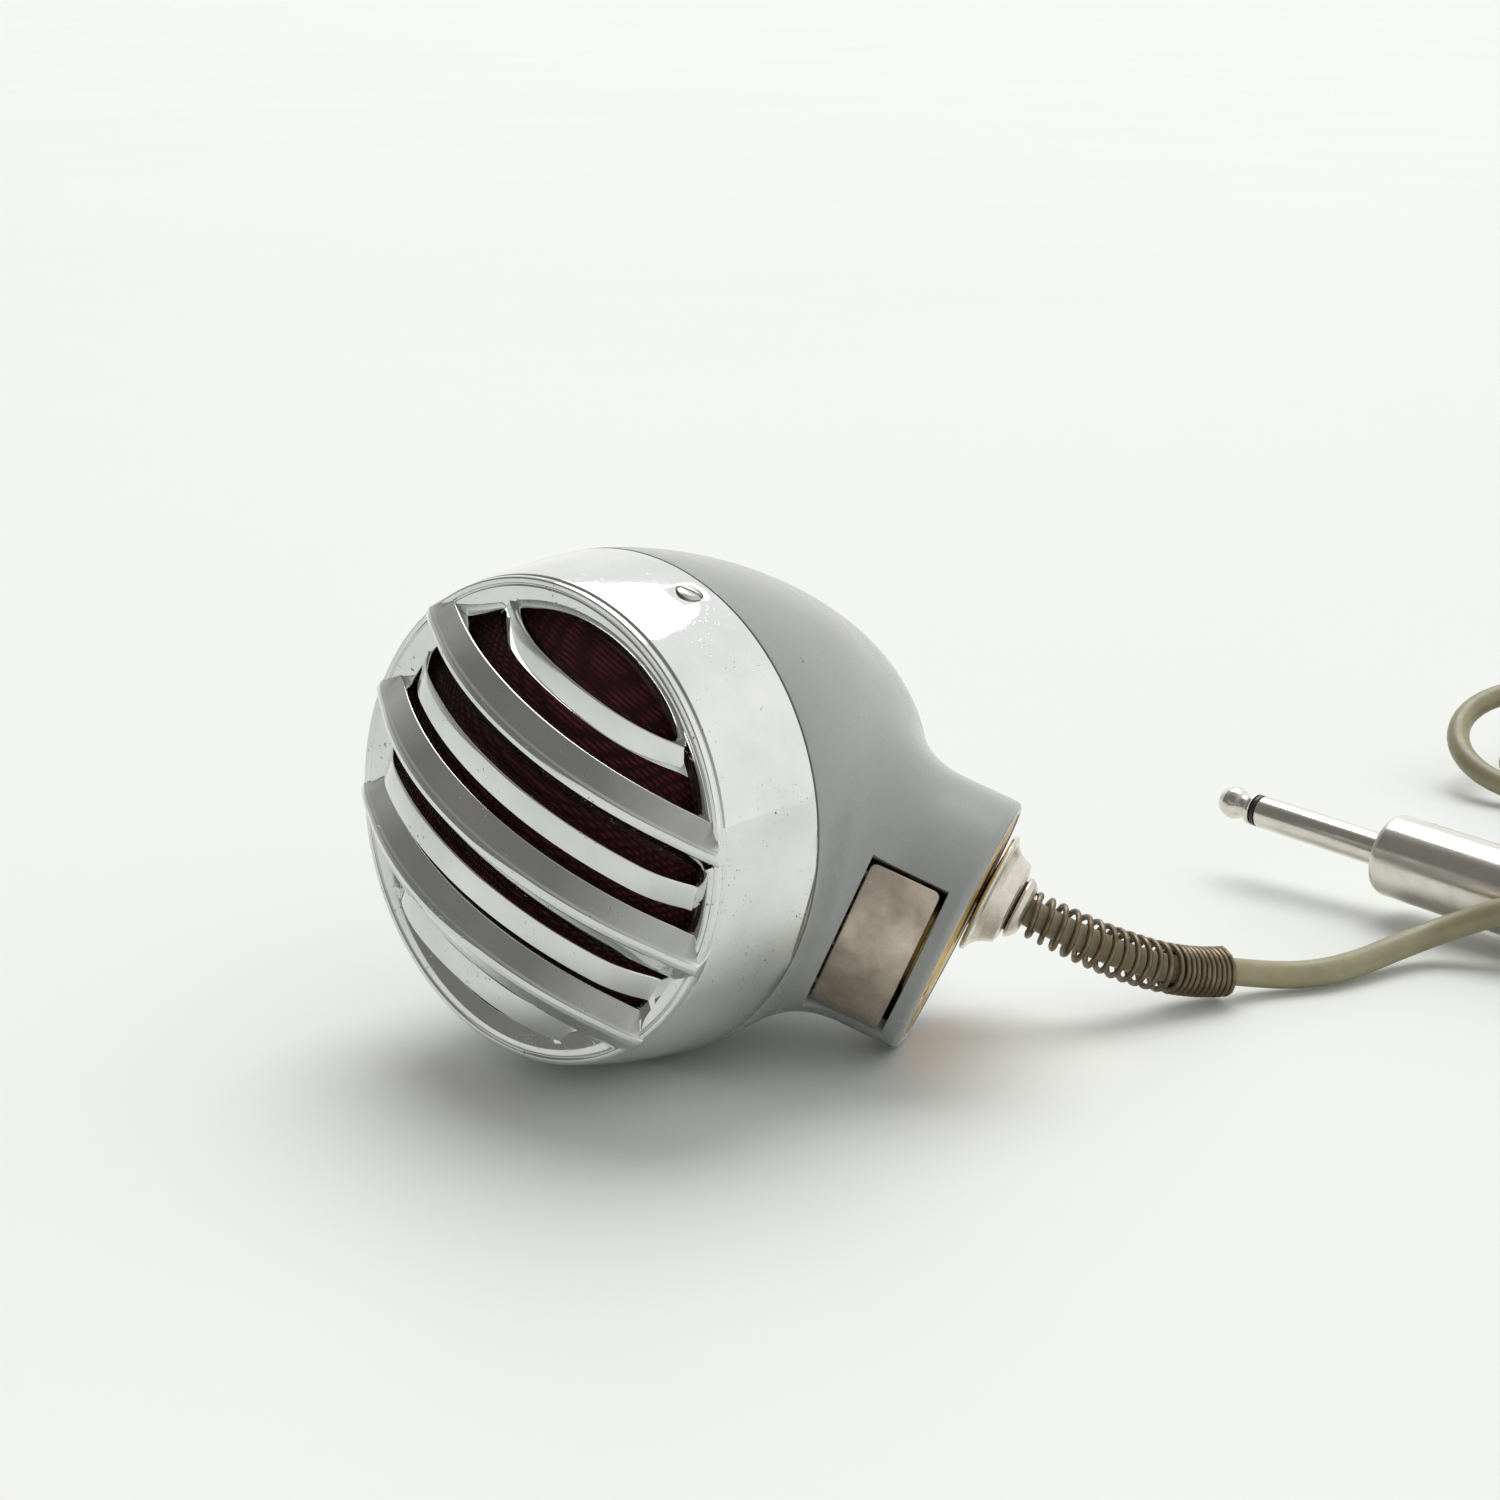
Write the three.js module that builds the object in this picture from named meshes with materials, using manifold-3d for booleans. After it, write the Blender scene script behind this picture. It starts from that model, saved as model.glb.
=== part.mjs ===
// Hand microphone: a chrome ribbed front, a painted die-cast shell with a hollow stem, a press lever in
// the stem, a brass base plate with a stand bushing, and a screw-on cable connector with a spring sleeve.
// Millimetres, +Z up. The microphone is drawn upright in its own frame (front towards -Y, stem down and
// back), then laid on its right side as it rests on a table, with the floor at z = 0.
import * as THREE from "three";
import { mergeVertices } from "three/addons/utils/BufferGeometryUtils.js";
import Module from "manifold-3d";

const wasm = await Module();
wasm.setup();

// ---- driving dimensions ---------------------------------------------------------------------------
const GAP = 0.3; // clearance between neighbouring pieces
const RIM_R = 38.5; // front rim radius
const BAND_R = 41.2; // rear radius of the chrome band
const BAND_D = 20.1; // depth of the chrome band
const OPEN_R = 33.4; // grille opening radius
const DOME_R = 60; // sphere the rib crests lie on
const DOME_H = 14; // height of that dome in front of the rim
const RIB_PITCH = 8.72; // ribs, centre to centre
const FIN_HALF = 4.25; // half width of a crested fin
const FIN_RISE = 3.0; // height of a fin's flanks
const FIN_DEEP = 5.2; // crest to back of a fin
const BAR_HALF = 2.25; // half width of a low bar
const BAR_SET = 2.6; // low bar's face behind the crest dome
const BAR_THICK = 2.5;
const SHELL_L = 65.1; // depth of the ovoid behind the band
const SHELL_P = 1.663; // its profile exponent: r = BAND_R * (1 - u^p)^0.5
const WALL = 2.4; // casting wall
const STEM_Y = 32.9; // stem axis crosses the shell axis this far behind the rim
const STEM_TILT = 0.511; // radians the stem leans back
const STEM_R = 22.5;
const STEM_END = 50.35; // along the stem axis
const STEM_BORE = 19.9;
const STEM_EDGE = 1.3; // rounding of the stem's end corner
const END_LEAN = 0.08; // radians the stem's end face leans to the front
const BLEND = 7; // size of the fillet between stem and ovoid
const LEVER_TOP = 34.55; // along the stem axis
const LEVER_LOW = 46.38;
const LEVER_HALF = 0.648; // radians each side of the stem's front line
const LEVER_THICK = 1.2;
const LEVER_ROOM = 0.036; // radians of room on each side of the lever in its window
const PIN_Y = -15.8; // hinge pin of the lever, in the stem frame
const PIN_Z = -35.6;
const PIN_R = 0.8;
const SCREW_Y = 15.7; // band screws behind the rim
const CAP_Y = 8.2; // front of the capsule
const DIA_Y = CAP_Y + 1.4; // its diaphragm
const CASE_Y = CAP_Y + 5.7; // its case
const SCREW_RING = 29; // radius the baffle screws stand on
const PLATE_R = 20.5; // brass base plate
const BUSH_Y = -6.5; // stand bushing off the stem axis
const BUSH_BORE = 7.94; // half of a 5/8 inch stand thread
const CON_Y = 15.4; // cable connector off the stem axis, to the rear
const NOSE_Z = -59.1; // where the spring sleeve begins, in the end face's frame
const CORD_R = 2.4; // cable radius
const SPRING_R = 4.4; // outside radius of the spring sleeve
const WIRE_R = 0.52;
const PLUG_R = 3.175; // quarter inch plug
const PLUG_SHAFT = 38.2;
const BARREL_R = 7.8;
const BARREL_L = 40;
// The folded cable: outside length and width of its loops, width and height of their bundle, height of
// the lowest turn's underside, and where its middle lies.
const HANK = { length: 97.2, width: 43.2, bundle: 9.6, height: 14.4, base: 0.9, turn: 0.55, x: 71, y: 292 };
const RUN = 19.2; // outermost run of cable off the hank's middle line
const RUN_END = 41.2; // where the loose cable meets it
const LIE_ROLL = -1.1319; // lying on its side: turn about the front axis
const LIE_PITCH = -0.0559; // and the front lifted a little
const REST_H = 42.3; // rim centre above the floor when lying

// ---- materials ------------------------------------------------------------------------------------
const paint = (color, roughness, metalness) => ({ color, roughness, metalness });
const CHROME = paint(0xdcdde0, 0.08, 1);
const NICKEL = paint(0xbdb3a4, 0.26, 1);
const ENAMEL = paint(0x7f8284, 0.3, 0);
const BRASS = paint(0xb08a4a, 0.3, 1);
const STEEL = paint(0x9b9a97, 0.32, 1);
const ALU = paint(0xb4b6b8, 0.42, 1);
const MAROON = paint(0x4a1220, 0.95, 0);
const RUBBER = paint(0x1d1d1e, 0.8, 0);
const FIBRE = paint(0x4a3524, 0.7, 0);
const CABLE = paint(0x8c8768, 0.45, 0);
const TAPE = paint(0xd8d6c4, 0.3, 0);

// ---- solids ---------------------------------------------------------------------------------------
function solid(source) {
  const bare = new THREE.BufferGeometry();
  const flat = source.index ? source.toNonIndexed() : source;
  bare.setAttribute("position", flat.getAttribute("position").clone());
  const merged = mergeVertices(bare, 1e-4);
  const at = merged.attributes.position;
  const tri = [];
  let volume = 0;
  const [a, b, c] = [new THREE.Vector3(), new THREE.Vector3(), new THREE.Vector3()];
  for (let i = 0; i < merged.index.count; i += 3) {
    const [p, q, r] = [0, 1, 2].map((k) => merged.index.getX(i + k));
    if (p === q || q === r || p === r) continue;
    tri.push(p, q, r);
    a.fromBufferAttribute(at, p);
    b.fromBufferAttribute(at, q);
    c.fromBufferAttribute(at, r);
    volume += a.dot(b.cross(c));
  }
  if (volume < 0) tri.reverse();
  return new wasm.Manifold(
    new wasm.Mesh({ numProp: 3, vertProperties: new Float32Array(at.array), triVerts: new Uint32Array(tri) }),
  );
}

function union(parts) {
  return parts.slice(1).reduce((sum, part) => sum.add(part), parts[0]);
}

function geometryOf(made) {
  const m = made.getMesh();
  const g = new THREE.BufferGeometry();
  const xyz = new Float32Array(m.numVert * 3);
  for (let i = 0; i < m.numVert; i++) {
    xyz.set(m.vertProperties.subarray(i * m.numProp, i * m.numProp + 3), i * 3);
  }
  g.setAttribute("position", new THREE.BufferAttribute(xyz, 3));
  g.setIndex(new THREE.BufferAttribute(new Uint32Array(m.triVerts), 1));
  g.computeVertexNormals();
  return g;
}

// Turned about Y: profile points are [radius, y].
function latheY(profile, segments) {
  const points = profile.map(([r, y]) => new THREE.Vector2(r, y));
  return new THREE.LatheGeometry(points, segments);
}

// Turned about Z: profile points are [radius, z].
function latheZ(profile, segments) {
  return latheY(profile, segments).rotateX(Math.PI / 2);
}

// A closed ring profile: the last point repeats the first.
function ring(inner, outer, low, high) {
  return [
    [inner, low],
    [outer, low],
    [outer, high],
    [inner, high],
    [inner, low],
  ];
}

function disc(radius, low, high) {
  return [
    [0, low],
    [radius, low],
    [radius, high],
    [0, high],
  ];
}

function box(x0, x1, y0, y1, z0, z1) {
  return new THREE.BoxGeometry(x1 - x0, y1 - y0, z1 - z0).translate(
    (x0 + x1) / 2,
    (y0 + y1) / 2,
    (z0 + z1) / 2,
  );
}

// A rod along X.
function rodX(radius, x0, x1, y, z, segments) {
  return latheZ(disc(radius, x0, x1), segments).rotateY(Math.PI / 2).translate(0, y, z);
}

// A solid skinned over closed rings of equal length, capped at both ends.
function skin(rings) {
  const n = rings[0].length;
  const xyz = [];
  const put = (p) => xyz.push(p[0], p[1], p[2]);
  const middle = (loop) => [0, 1, 2].map((k) => loop.reduce((s, p) => s + p[k], 0) / n);
  for (let s = 0; s + 1 < rings.length; s++) {
    for (let i = 0; i < n; i++) {
      const j = (i + 1) % n;
      [rings[s][i], rings[s + 1][i], rings[s + 1][j]].forEach(put);
      [rings[s][i], rings[s + 1][j], rings[s][j]].forEach(put);
    }
  }
  const first = rings[0];
  const last = rings[rings.length - 1];
  for (let i = 0; i < n; i++) {
    const j = (i + 1) % n;
    [first[i], first[j], middle(first)].forEach(put);
    [last[j], last[i], middle(last)].forEach(put);
  }
  return new THREE.BufferGeometry().setAttribute("position", new THREE.Float32BufferAttribute(xyz, 3));
}

function tube(path, steps, radius, sides) {
  const outline = new THREE.Shape();
  for (let i = 0; i < sides; i++) {
    const turn = (2 * Math.PI * i) / sides;
    const [x, y] = [radius * Math.cos(turn), radius * Math.sin(turn)];
    if (i) outline.lineTo(x, y);
    else outline.moveTo(x, y);
  }
  outline.closePath();
  return new THREE.ExtrudeGeometry(outline, { steps, extrudePath: path, bevelEnabled: false });
}

// ---- frames ---------------------------------------------------------------------------------------
const STEM = new THREE.Matrix4().makeRotationX(STEM_TILT).setPosition(0, STEM_Y, 0);
// The stem's end face, and all that is mounted on it, leans about the foot of the stem's front line.
const END = STEM.clone()
  .multiply(new THREE.Matrix4().makeTranslation(0, -STEM_R, -STEM_END))
  .multiply(new THREE.Matrix4().makeRotationX(-END_LEAN))
  .multiply(new THREE.Matrix4().makeTranslation(0, STEM_R, STEM_END));
const LIE = new THREE.Matrix4()
  .makeRotationX(LIE_PITCH)
  .multiply(new THREE.Matrix4().makeRotationY(LIE_ROLL));
LIE.setPosition(0, 0, REST_H);

const object = new THREE.Group();
object.name = "hand_microphone";
const cordNames = new Set();
const NONE = new THREE.Matrix4();

function add(name, made, look, frame = NONE, isCord = false) {
  const g = made.isBufferGeometry ? geometryOf(solid(made)) : geometryOf(made);
  if (!isCord) g.applyMatrix4(frame).applyMatrix4(LIE);
  const material = new THREE.MeshStandardMaterial(look);
  const piece = new THREE.Mesh(g, material);
  piece.name = name;
  if (isCord) cordNames.add(name);
  object.add(piece);
  return piece;
}

// ---- chrome front ---------------------------------------------------------------------------------
const domeY = (x, z) => DOME_R - DOME_H - Math.sqrt(DOME_R ** 2 - x * x - z * z);

function fin(x0) {
  const reach = Math.sqrt((RIM_R + 0.4) ** 2 - x0 * x0);
  const rings = [];
  for (let i = 0; i <= 10; i++) {
    const z = reach * (i / 5 - 1);
    const y = domeY(x0, z);
    const back = y + FIN_DEEP;
    rings.push([
      [x0, y, z],
      [x0 + FIN_HALF, y + FIN_RISE, z],
      [x0 + FIN_HALF - 0.8, back, z],
      [x0 - FIN_HALF + 0.8, back, z],
      [x0 - FIN_HALF, y + FIN_RISE, z],
    ]);
  }
  return solid(skin(rings));
}

function bar(x0) {
  const reach = Math.sqrt((OPEN_R + 1.6) ** 2 - x0 * x0);
  const rings = [];
  for (let i = 0; i <= 10; i++) {
    const z = reach * (i / 5 - 1);
    const edge = Math.min(Math.max((Math.hypot(x0, z) - 27) / (OPEN_R - 27), 0), 1);
    const y = domeY(x0, z) + BAR_SET + 2.2 * edge * edge;
    const half = BAR_HALF;
    rings.push([
      [x0 - half, y + 0.25, z],
      [x0 - half + 0.5, y, z],
      [x0 + half - 0.5, y, z],
      [x0 + half, y + 0.25, z],
      [x0 + half - 0.5, y + BAR_THICK, z],
      [x0 - half + 0.5, y + BAR_THICK, z],
    ]);
  }
  return solid(skin(rings));
}

const frontBand = latheY(
  [
    [OPEN_R, 1.1],
    [35.6, 0.35],
    [37.6, 0.0],
    [38.3, 0.05],
    [RIM_R + 0.1, 0.5],
    [RIM_R + 0.1, 1.0],
    [38.9, 1.5],
    [39.6, 5.0],
    [40.5, 11.5],
    [BAND_R - 0.1, 17.5],
    [BAND_R, BAND_D],
    [38.5, BAND_D],
    [38.4, 8.6],
    [37.2, 5.2],
    [36.8, 4.3],
    [34.1, 4.3],
    [OPEN_R, 1.1],
  ],
  52,
);
const finEnvelope = latheY(
  [
    [0, -20],
    [38.9, -20],
    [38.9, 1.2],
    [38.4, 5.0],
    [0, 5.0],
  ],
  52,
);
const screwHole = (side) => rodX(1.4, side * 30 - 12, side * 30 + 12, SCREW_Y, 0, 16);
let front = union([-2, 0, 2].map((k) => fin(k * RIB_PITCH)));
front = front.intersect(solid(finEnvelope)).add(solid(frontBand));
front = union([front, ...[-3, -1, 1, 3].map((k) => bar(k * RIB_PITCH))]);
front = front.subtract(solid(screwHole(1))).subtract(solid(screwHole(-1)));
add("front_grille", front, CHROME);

// Slotted screws through the band into the shell's spigot.
function bandScrew(side) {
  const out = BAND_R - 0.15;
  const profile = [
    [0, out - 6.3],
    [1.0, out - 6.3],
    [1.0, out + 0.02],
    [2.0, out + 0.12],
    [1.9, out + 0.6],
    [1.2, out + 0.95],
    [0, out + 1.05],
  ];
  const slot = solid(box(-2.4, 2.4, -0.28, 0.28, out + 0.5, out + 2));
  const screw = geometryOf(solid(latheZ(profile, 20)).subtract(slot));
  return screw.rotateY((side * Math.PI) / 2).translate(0, SCREW_Y, 0);
}
add("band_screw_left", bandScrew(1), STEEL);
add("band_screw_right", bandScrew(-1), STEEL);

// ---- cloth and the pieces that hold it --------------------------------------------------------------
// A shallow dome of sheet with a flat flange, from the flange's front face and the dome's height.
function domed(edgeR, flangeR, flangeY, height, thick, segments) {
  const radius = (edgeR ** 2 + height ** 2) / (2 * height);
  const upper = [];
  for (let i = 0; i <= 5; i++) {
    const r = (edgeR * i) / 5;
    upper.push([r, flangeY - height + radius - Math.sqrt(radius ** 2 - r * r)]);
  }
  upper.push([flangeR, flangeY]);
  const lower = upper.map(([r, y]) => [r, y + thick]).reverse();
  return latheY([...upper, ...lower], segments);
}
add("grille_cloth", domed(33, 36.4, 4.65, 12.2, 0.6, 32), MAROON);

let screen = solid(domed(33, 36.4, 5.6, 12.0, 0.5, 24));
for (let i = 0; i < 6; i++) {
  const slot = box(-3, 3, -12, 5, 9, 29);
  screen = screen.subtract(solid(slot.rotateY(((i + 0.5) * Math.PI) / 3)));
}
add("cloth_screen", screen, STEEL);
add("cloth_retaining_ring", latheY(ring(33.6, 36.4, 6.45, 7.6), 32), STEEL);

// ---- microphone capsule ---------------------------------------------------------------------------
const baffleAngles = [0.5, 2.594, 4.689];
const onRing = (g, turn) => g.translate(SCREW_RING * Math.cos(turn), 0, SCREW_RING * Math.sin(turn));
add("baffle_gasket", latheY(ring(31.4, 35.4, 8.0, 9.0), 28), RUBBER);
let baffle = solid(latheY(ring(24.9, 35.4, 9.3, 10.7), 28));
for (const turn of baffleAngles) {
  baffle = baffle.subtract(solid(onRing(latheY(disc(1.5, 8, 12), 12), turn)));
}
add("capsule_baffle", baffle, ALU);
const baffleScrew = [
  [0, 7.9],
  [1.6, 7.9],
  [2.0, 8.3],
  [2.0, 9.0],
  [1.1, 9.0],
  [1.1, 15.5],
  [0, 15.5],
];
baffleAngles.forEach((turn, i) => {
  add("baffle_screw_" + (i + 1), onRing(latheY(baffleScrew, 14), turn), STEEL);
});

let cap = solid(
  latheY(
    [
      [0, CAP_Y],
      [21, CAP_Y],
      [24.2, CAP_Y + 1.6],
      [24.5, CAP_Y + 5.4],
      [23.7, CAP_Y + 5.4],
      [23.4, CAP_Y + 2.0],
      [20.6, CAP_Y + 0.9],
      [0, CAP_Y + 0.9],
    ],
    24,
  ),
);
for (let i = 0; i < 6; i++) {
  const hole = latheY(disc(2.6, CAP_Y - 2, CAP_Y + 4), 12).translate(11.5, 0, 0);
  cap = cap.subtract(solid(hole.rotateY((i * Math.PI) / 3)));
}
add("capsule_front_cap", cap, ALU);
add(
  "capsule_diaphragm",
  latheY(
    [
      [0, DIA_Y + 2.6],
      [7, DIA_Y + 2.6],
      [17.5, DIA_Y + 0.2],
      [19.5, DIA_Y + 1.2],
      [22.9, DIA_Y + 1.2],
      [22.9, DIA_Y + 1.6],
      [19.3, DIA_Y + 1.6],
      [17.5, DIA_Y + 0.6],
      [7, DIA_Y + 3.0],
      [0, DIA_Y + 3.0],
    ],
    20,
  ),
  ALU,
);
add(
  "capsule_case",
  latheY(
    [
      [20.6, CASE_Y - 1.9],
      [23.0, CASE_Y - 1.9],
      [23.0, CASE_Y],
      [24.4, CASE_Y],
      [24.4, CASE_Y + 8],
      [20.6, CASE_Y + 12],
      [11, CASE_Y + 12],
      [11, CASE_Y + 10.8],
      [20, CASE_Y + 10.8],
      [20.6, CASE_Y - 1.9],
    ],
    24,
  ),
  ALU,
);
add("capsule_drive_unit", latheY(disc(9.5, CASE_Y + 0.4, CASE_Y + 9.6), 20), STEEL);
add("capsule_drive_pin", latheY(disc(0.8, DIA_Y + 3.3, CASE_Y + 0.1), 10), BRASS);
add("capsule_rear_cover", latheY(ring(2.4, 16, CASE_Y + 12.3, CASE_Y + 13.5), 28), FIBRE);
[-6.5, 6.5].forEach((x, i) => {
  const lug = box(x - 1.4, x + 1.4, CASE_Y + 13.8, CASE_Y + 19.5, -0.4, 0.4);
  add("capsule_terminal_" + (i + 1), lug, BRASS);
});

// ---- painted shell --------------------------------------------------------------------------------
const AXIS = new THREE.Vector3(0, Math.sin(STEM_TILT), -Math.cos(STEM_TILT));
const ROOT = new THREE.Vector3(0, STEM_Y, 0);
const END_FACE = new THREE.Plane(new THREE.Vector3(0, 0, -1), -STEM_END).applyMatrix4(END);

function ovoidDistance(p) {
  const r = Math.hypot(p.x, p.z);
  const u = Math.max((p.y - BAND_D) / SHELL_L, 0);
  const value = (r / BAND_R) ** 2 + u ** SHELL_P - 1;
  const slope = Math.hypot((2 * r) / BAND_R ** 2, (SHELL_P * u ** (SHELL_P - 1)) / SHELL_L);
  return value / Math.max(slope, 0.02);
}

function stemDistance(p) {
  const from = p.clone().sub(ROOT);
  const along = from.dot(AXIS);
  const radial = Math.sqrt(Math.max(from.lengthSq() - along * along, 0));
  const x = radial - (STEM_R - STEM_EDGE);
  const y = Math.max(END_FACE.distanceToPoint(p), -along) + STEM_EDGE;
  return Math.hypot(Math.max(x, 0), Math.max(y, 0)) + Math.min(Math.max(x, y), 0) - STEM_EDGE;
}

function shellDistance(p) {
  const a = ovoidDistance(p);
  const b = stemDistance(p);
  const h = Math.max(BLEND - Math.abs(a - b), 0) / BLEND;
  return Math.min(a, b) - (h * h * BLEND) / 4;
}

// The surface at a given depth under the shell's skin, seen from a point on the stem axis: rays from
// that point, turned about the stem axis, meet it once each.
function castSkin(depth, polar, around) {
  const eye = ROOT.clone().addScaledVector(AXIS, 12);
  const side = new THREE.Vector3(1, 0, 0);
  const up = new THREE.Vector3().crossVectors(AXIS, side);
  const hit = (tilt, turn) => {
    const ray = AXIS.clone().multiplyScalar(Math.cos(tilt));
    ray.addScaledVector(side, Math.sin(tilt) * Math.cos(turn));
    ray.addScaledVector(up, Math.sin(tilt) * Math.sin(turn));
    let [near, far] = [2, 90];
    for (let i = 0; i < 40; i++) {
      const half = (near + far) / 2;
      if (shellDistance(eye.clone().addScaledVector(ray, half)) < -depth) near = half;
      else far = half;
    }
    const p = eye.clone().addScaledVector(ray, near);
    return [p.x, p.y, p.z];
  };
  const rings = polar.map((degrees) => {
    const tilt = (degrees * Math.PI) / 180;
    return Array.from({ length: around }, (_, i) => hit(tilt, (2 * Math.PI * i) / around));
  });
  return solid(skin(rings));
}

const outerPolar = [
  1, 18, 26, 27.7, 29.2, 30.6, 32, 35, 40, 46, 51, 56, 61, 66, 72, 80, 89, 98, 107, 116, 126, 138, 153, 168, 179,
];
const innerPolar = [1, 27, 29.5, 40, 50, 58, 66, 76, 90, 104, 120, 140, 160, 179];
const SPLIT = BAND_D + GAP;
let shell = castSkin(0, outerPolar, 48).subtract(castSkin(WALL, innerPolar, 28));
shell = shell.subtract(solid(box(-120, 120, -120, SPLIT, -120, 120)));
const spigot = latheY(
  [
    [35.7, 12.4],
    [38.0, 12.4],
    [38.0, 20.2],
    [38.6, 20.6],
    [40.2, 21.2],
    [39.9, 24.4],
    [38.4, 26.5],
    [35.7, 22.4],
    [35.7, 12.4],
  ],
  48,
);
shell = shell.add(solid(spigot));
// Lugs inside for the baffle screws and the base plate screws.
for (const turn of baffleAngles) {
  const lug = box(SCREW_RING - 2.6, 36.4, 12.4, 18.5, -2.6, 2.6).rotateY(-turn);
  shell = shell.add(solid(lug)).subtract(solid(onRing(latheY(disc(1.4, 12, 17), 12), turn)));
}
const inEnd = (g) => solid(g.applyMatrix4(END));
shell = shell.subtract(inEnd(latheZ(disc(STEM_BORE, -52, -40), 40)));
for (const side of [1, -1]) {
  const lug = latheZ(disc(3.0, -47.7, -39), 16).translate(side * 17.4, 0, 0);
  shell = shell.add(inEnd(lug));
}
shell = shell.subtract(inEnd(latheZ(disc(PLATE_R + GAP, -52, -47.9), 48)));
for (const side of [1, -1]) {
  const drill = latheZ(disc(1.5, -52, -42.5), 12).translate(side * 16.9, 0, 0);
  shell = shell.subtract(inEnd(drill)).subtract(solid(screwHole(side)));
}

// The window for the lever: a sector of a ring round the stem axis.
function sector(inner, outer, half, low, high, steps) {
  const outline = new THREE.Shape();
  const at = (r, turn) => [r * Math.sin(turn), -r * Math.cos(turn)];
  for (let i = 0; i <= steps; i++) {
    const p = at(outer, half * ((2 * i) / steps - 1));
    if (i) outline.lineTo(...p);
    else outline.moveTo(...p);
  }
  for (let i = steps; i >= 0; i--) outline.lineTo(...at(inner, half * ((2 * i) / steps - 1)));
  outline.closePath();
  const g = new THREE.ExtrudeGeometry(outline, { depth: high - low, bevelEnabled: false });
  return g.translate(0, 0, low);
}
const leverWindow = sector(
  STEM_BORE - 3,
  STEM_R + 3,
  LEVER_HALF + LEVER_ROOM,
  -LEVER_LOW - 0.95,
  -LEVER_TOP + 0.4,
  12,
);
shell = shell.subtract(solid(leverWindow.applyMatrix4(STEM)));
add("shell", shell, ENAMEL);

// ---- press lever and switch -------------------------------------------------------------------------
const plate = sector(STEM_R - LEVER_THICK, STEM_R, LEVER_HALF, -LEVER_LOW, -LEVER_TOP, 14);
let lever = solid(plate);
for (const x of [-8.55, 8.55]) {
  lever = lever.add(solid(box(x - 0.65, x + 0.65, -20.2, -14.2, -37.2, -34.9)));
}
lever = lever.subtract(solid(rodX(PIN_R + GAP, -14, 14, PIN_Y, PIN_Z, 16)));
add("press_lever", lever, NICKEL, STEM);
add("lever_pad", latheZ(disc(1.8, 0, 7.6), 14).rotateX(-Math.PI / 2).translate(0, -20.9, -40.8), FIBRE, STEM);
add("lever_pin", rodX(PIN_R, -12.4, 12.4, PIN_Y, PIN_Z, 16), STEEL, STEM);

let bracket = solid(box(-11.2, 11.2, -9.2, -8.2, -43.2, -33.6));
for (const x of [-10.7, 10.7]) {
  bracket = bracket.add(solid(box(x - 0.5, x + 0.5, -17.0, -8.4, -37.8, -33.6)));
}
bracket = bracket.subtract(solid(rodX(PIN_R + GAP, -14, 14, PIN_Y, PIN_Z, 16)));
add("switch_bracket", bracket, STEEL, STEM);

class Coil extends THREE.Curve {
  constructor(radius, turns, x0, x1) {
    super();
    Object.assign(this, { radius, turns, x0, x1 });
  }
  getPoint(t, target = new THREE.Vector3()) {
    const turn = 2 * Math.PI * this.turns * t;
    const x = this.x0 + (this.x1 - this.x0) * t;
    return target.set(x, PIN_Y + this.radius * Math.cos(turn), PIN_Z + this.radius * Math.sin(turn));
  }
}
add("lever_return_spring", tube(new Coil(1.65, 3, -5, 5), 30, 0.32, 5), STEEL, STEM);

add("switch_insulator_front", box(-3.2, 3.2, -12.3, -11.2, -38.5, -35), FIBRE, STEM);
add("contact_leaf_moving", box(-2.4, 2.4, -12.95, -12.6, -43.0, -35), BRASS, STEM);
add("contact_leaf_fixed", box(-2.4, 2.4, -10.9, -10.6, -43.0, -35), BRASS, STEM);
add("contact_point", latheZ(disc(0.8, 0, 0.5), 12).rotateX(-Math.PI / 2).translate(0, -12.3, -42.0), BRASS, STEM);
add("switch_insulator_rear", box(-3.2, 3.2, -10.3, -9.5, -38.5, -35), FIBRE, STEM);

// ---- base plate, stand bushing and connector --------------------------------------------------------
let base = solid(latheZ(disc(PLATE_R, -50.2, -48.2), 40));
base = base.subtract(solid(latheZ(disc(9.9, -52, -46), 28).translate(0, BUSH_Y, 0)));
base = base.subtract(solid(latheZ(disc(3.1, -52, -46), 16).translate(0, CON_Y, 0)));
for (const side of [1, -1]) {
  const drill = latheZ(
    [
      [0, -52],
      [2.5, -52],
      [2.5, -49.2],
      [1.5, -49.2],
      [1.5, -46],
      [0, -46],
    ],
    16,
  );
  base = base.subtract(solid(drill.translate(side * 16.9, 0, 0)));
}
add("base_plate", base, BRASS, END);

function slottedScrew(headR, headZ, headH, shankR, tipZ) {
  const profile = [
    [0, headZ],
    [headR - 0.3, headZ],
    [headR, headZ + 0.3],
    [headR, headZ + headH],
    [shankR, headZ + headH],
    [shankR, tipZ],
    [0, tipZ],
  ];
  const slot = solid(box(-0.25, 0.25, -3, 3, headZ - 1, headZ + 0.5));
  return geometryOf(solid(latheZ(profile, 18)).subtract(slot));
}
[1, -1].forEach((side, i) => {
  const screw = slottedScrew(2.2, -50.1, 0.6, 1.2, -43.2);
  add("base_screw_" + (i + 1), screw.translate(side * 16.9, 0, 0), BRASS, END);
});
const bushing = latheZ(
  [
    [BUSH_BORE, -50.0],
    [9.6, -50.0],
    [9.6, -47.9],
    [11.4, -47.9],
    [11.4, -46.7],
    [9.6, -46.5],
    [9.6, -43.9],
    [BUSH_BORE, -43.9],
    [BUSH_BORE, -50.0],
  ],
  30,
);
add("stand_bushing", bushing.translate(0, BUSH_Y, 0), BRASS, END);

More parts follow.
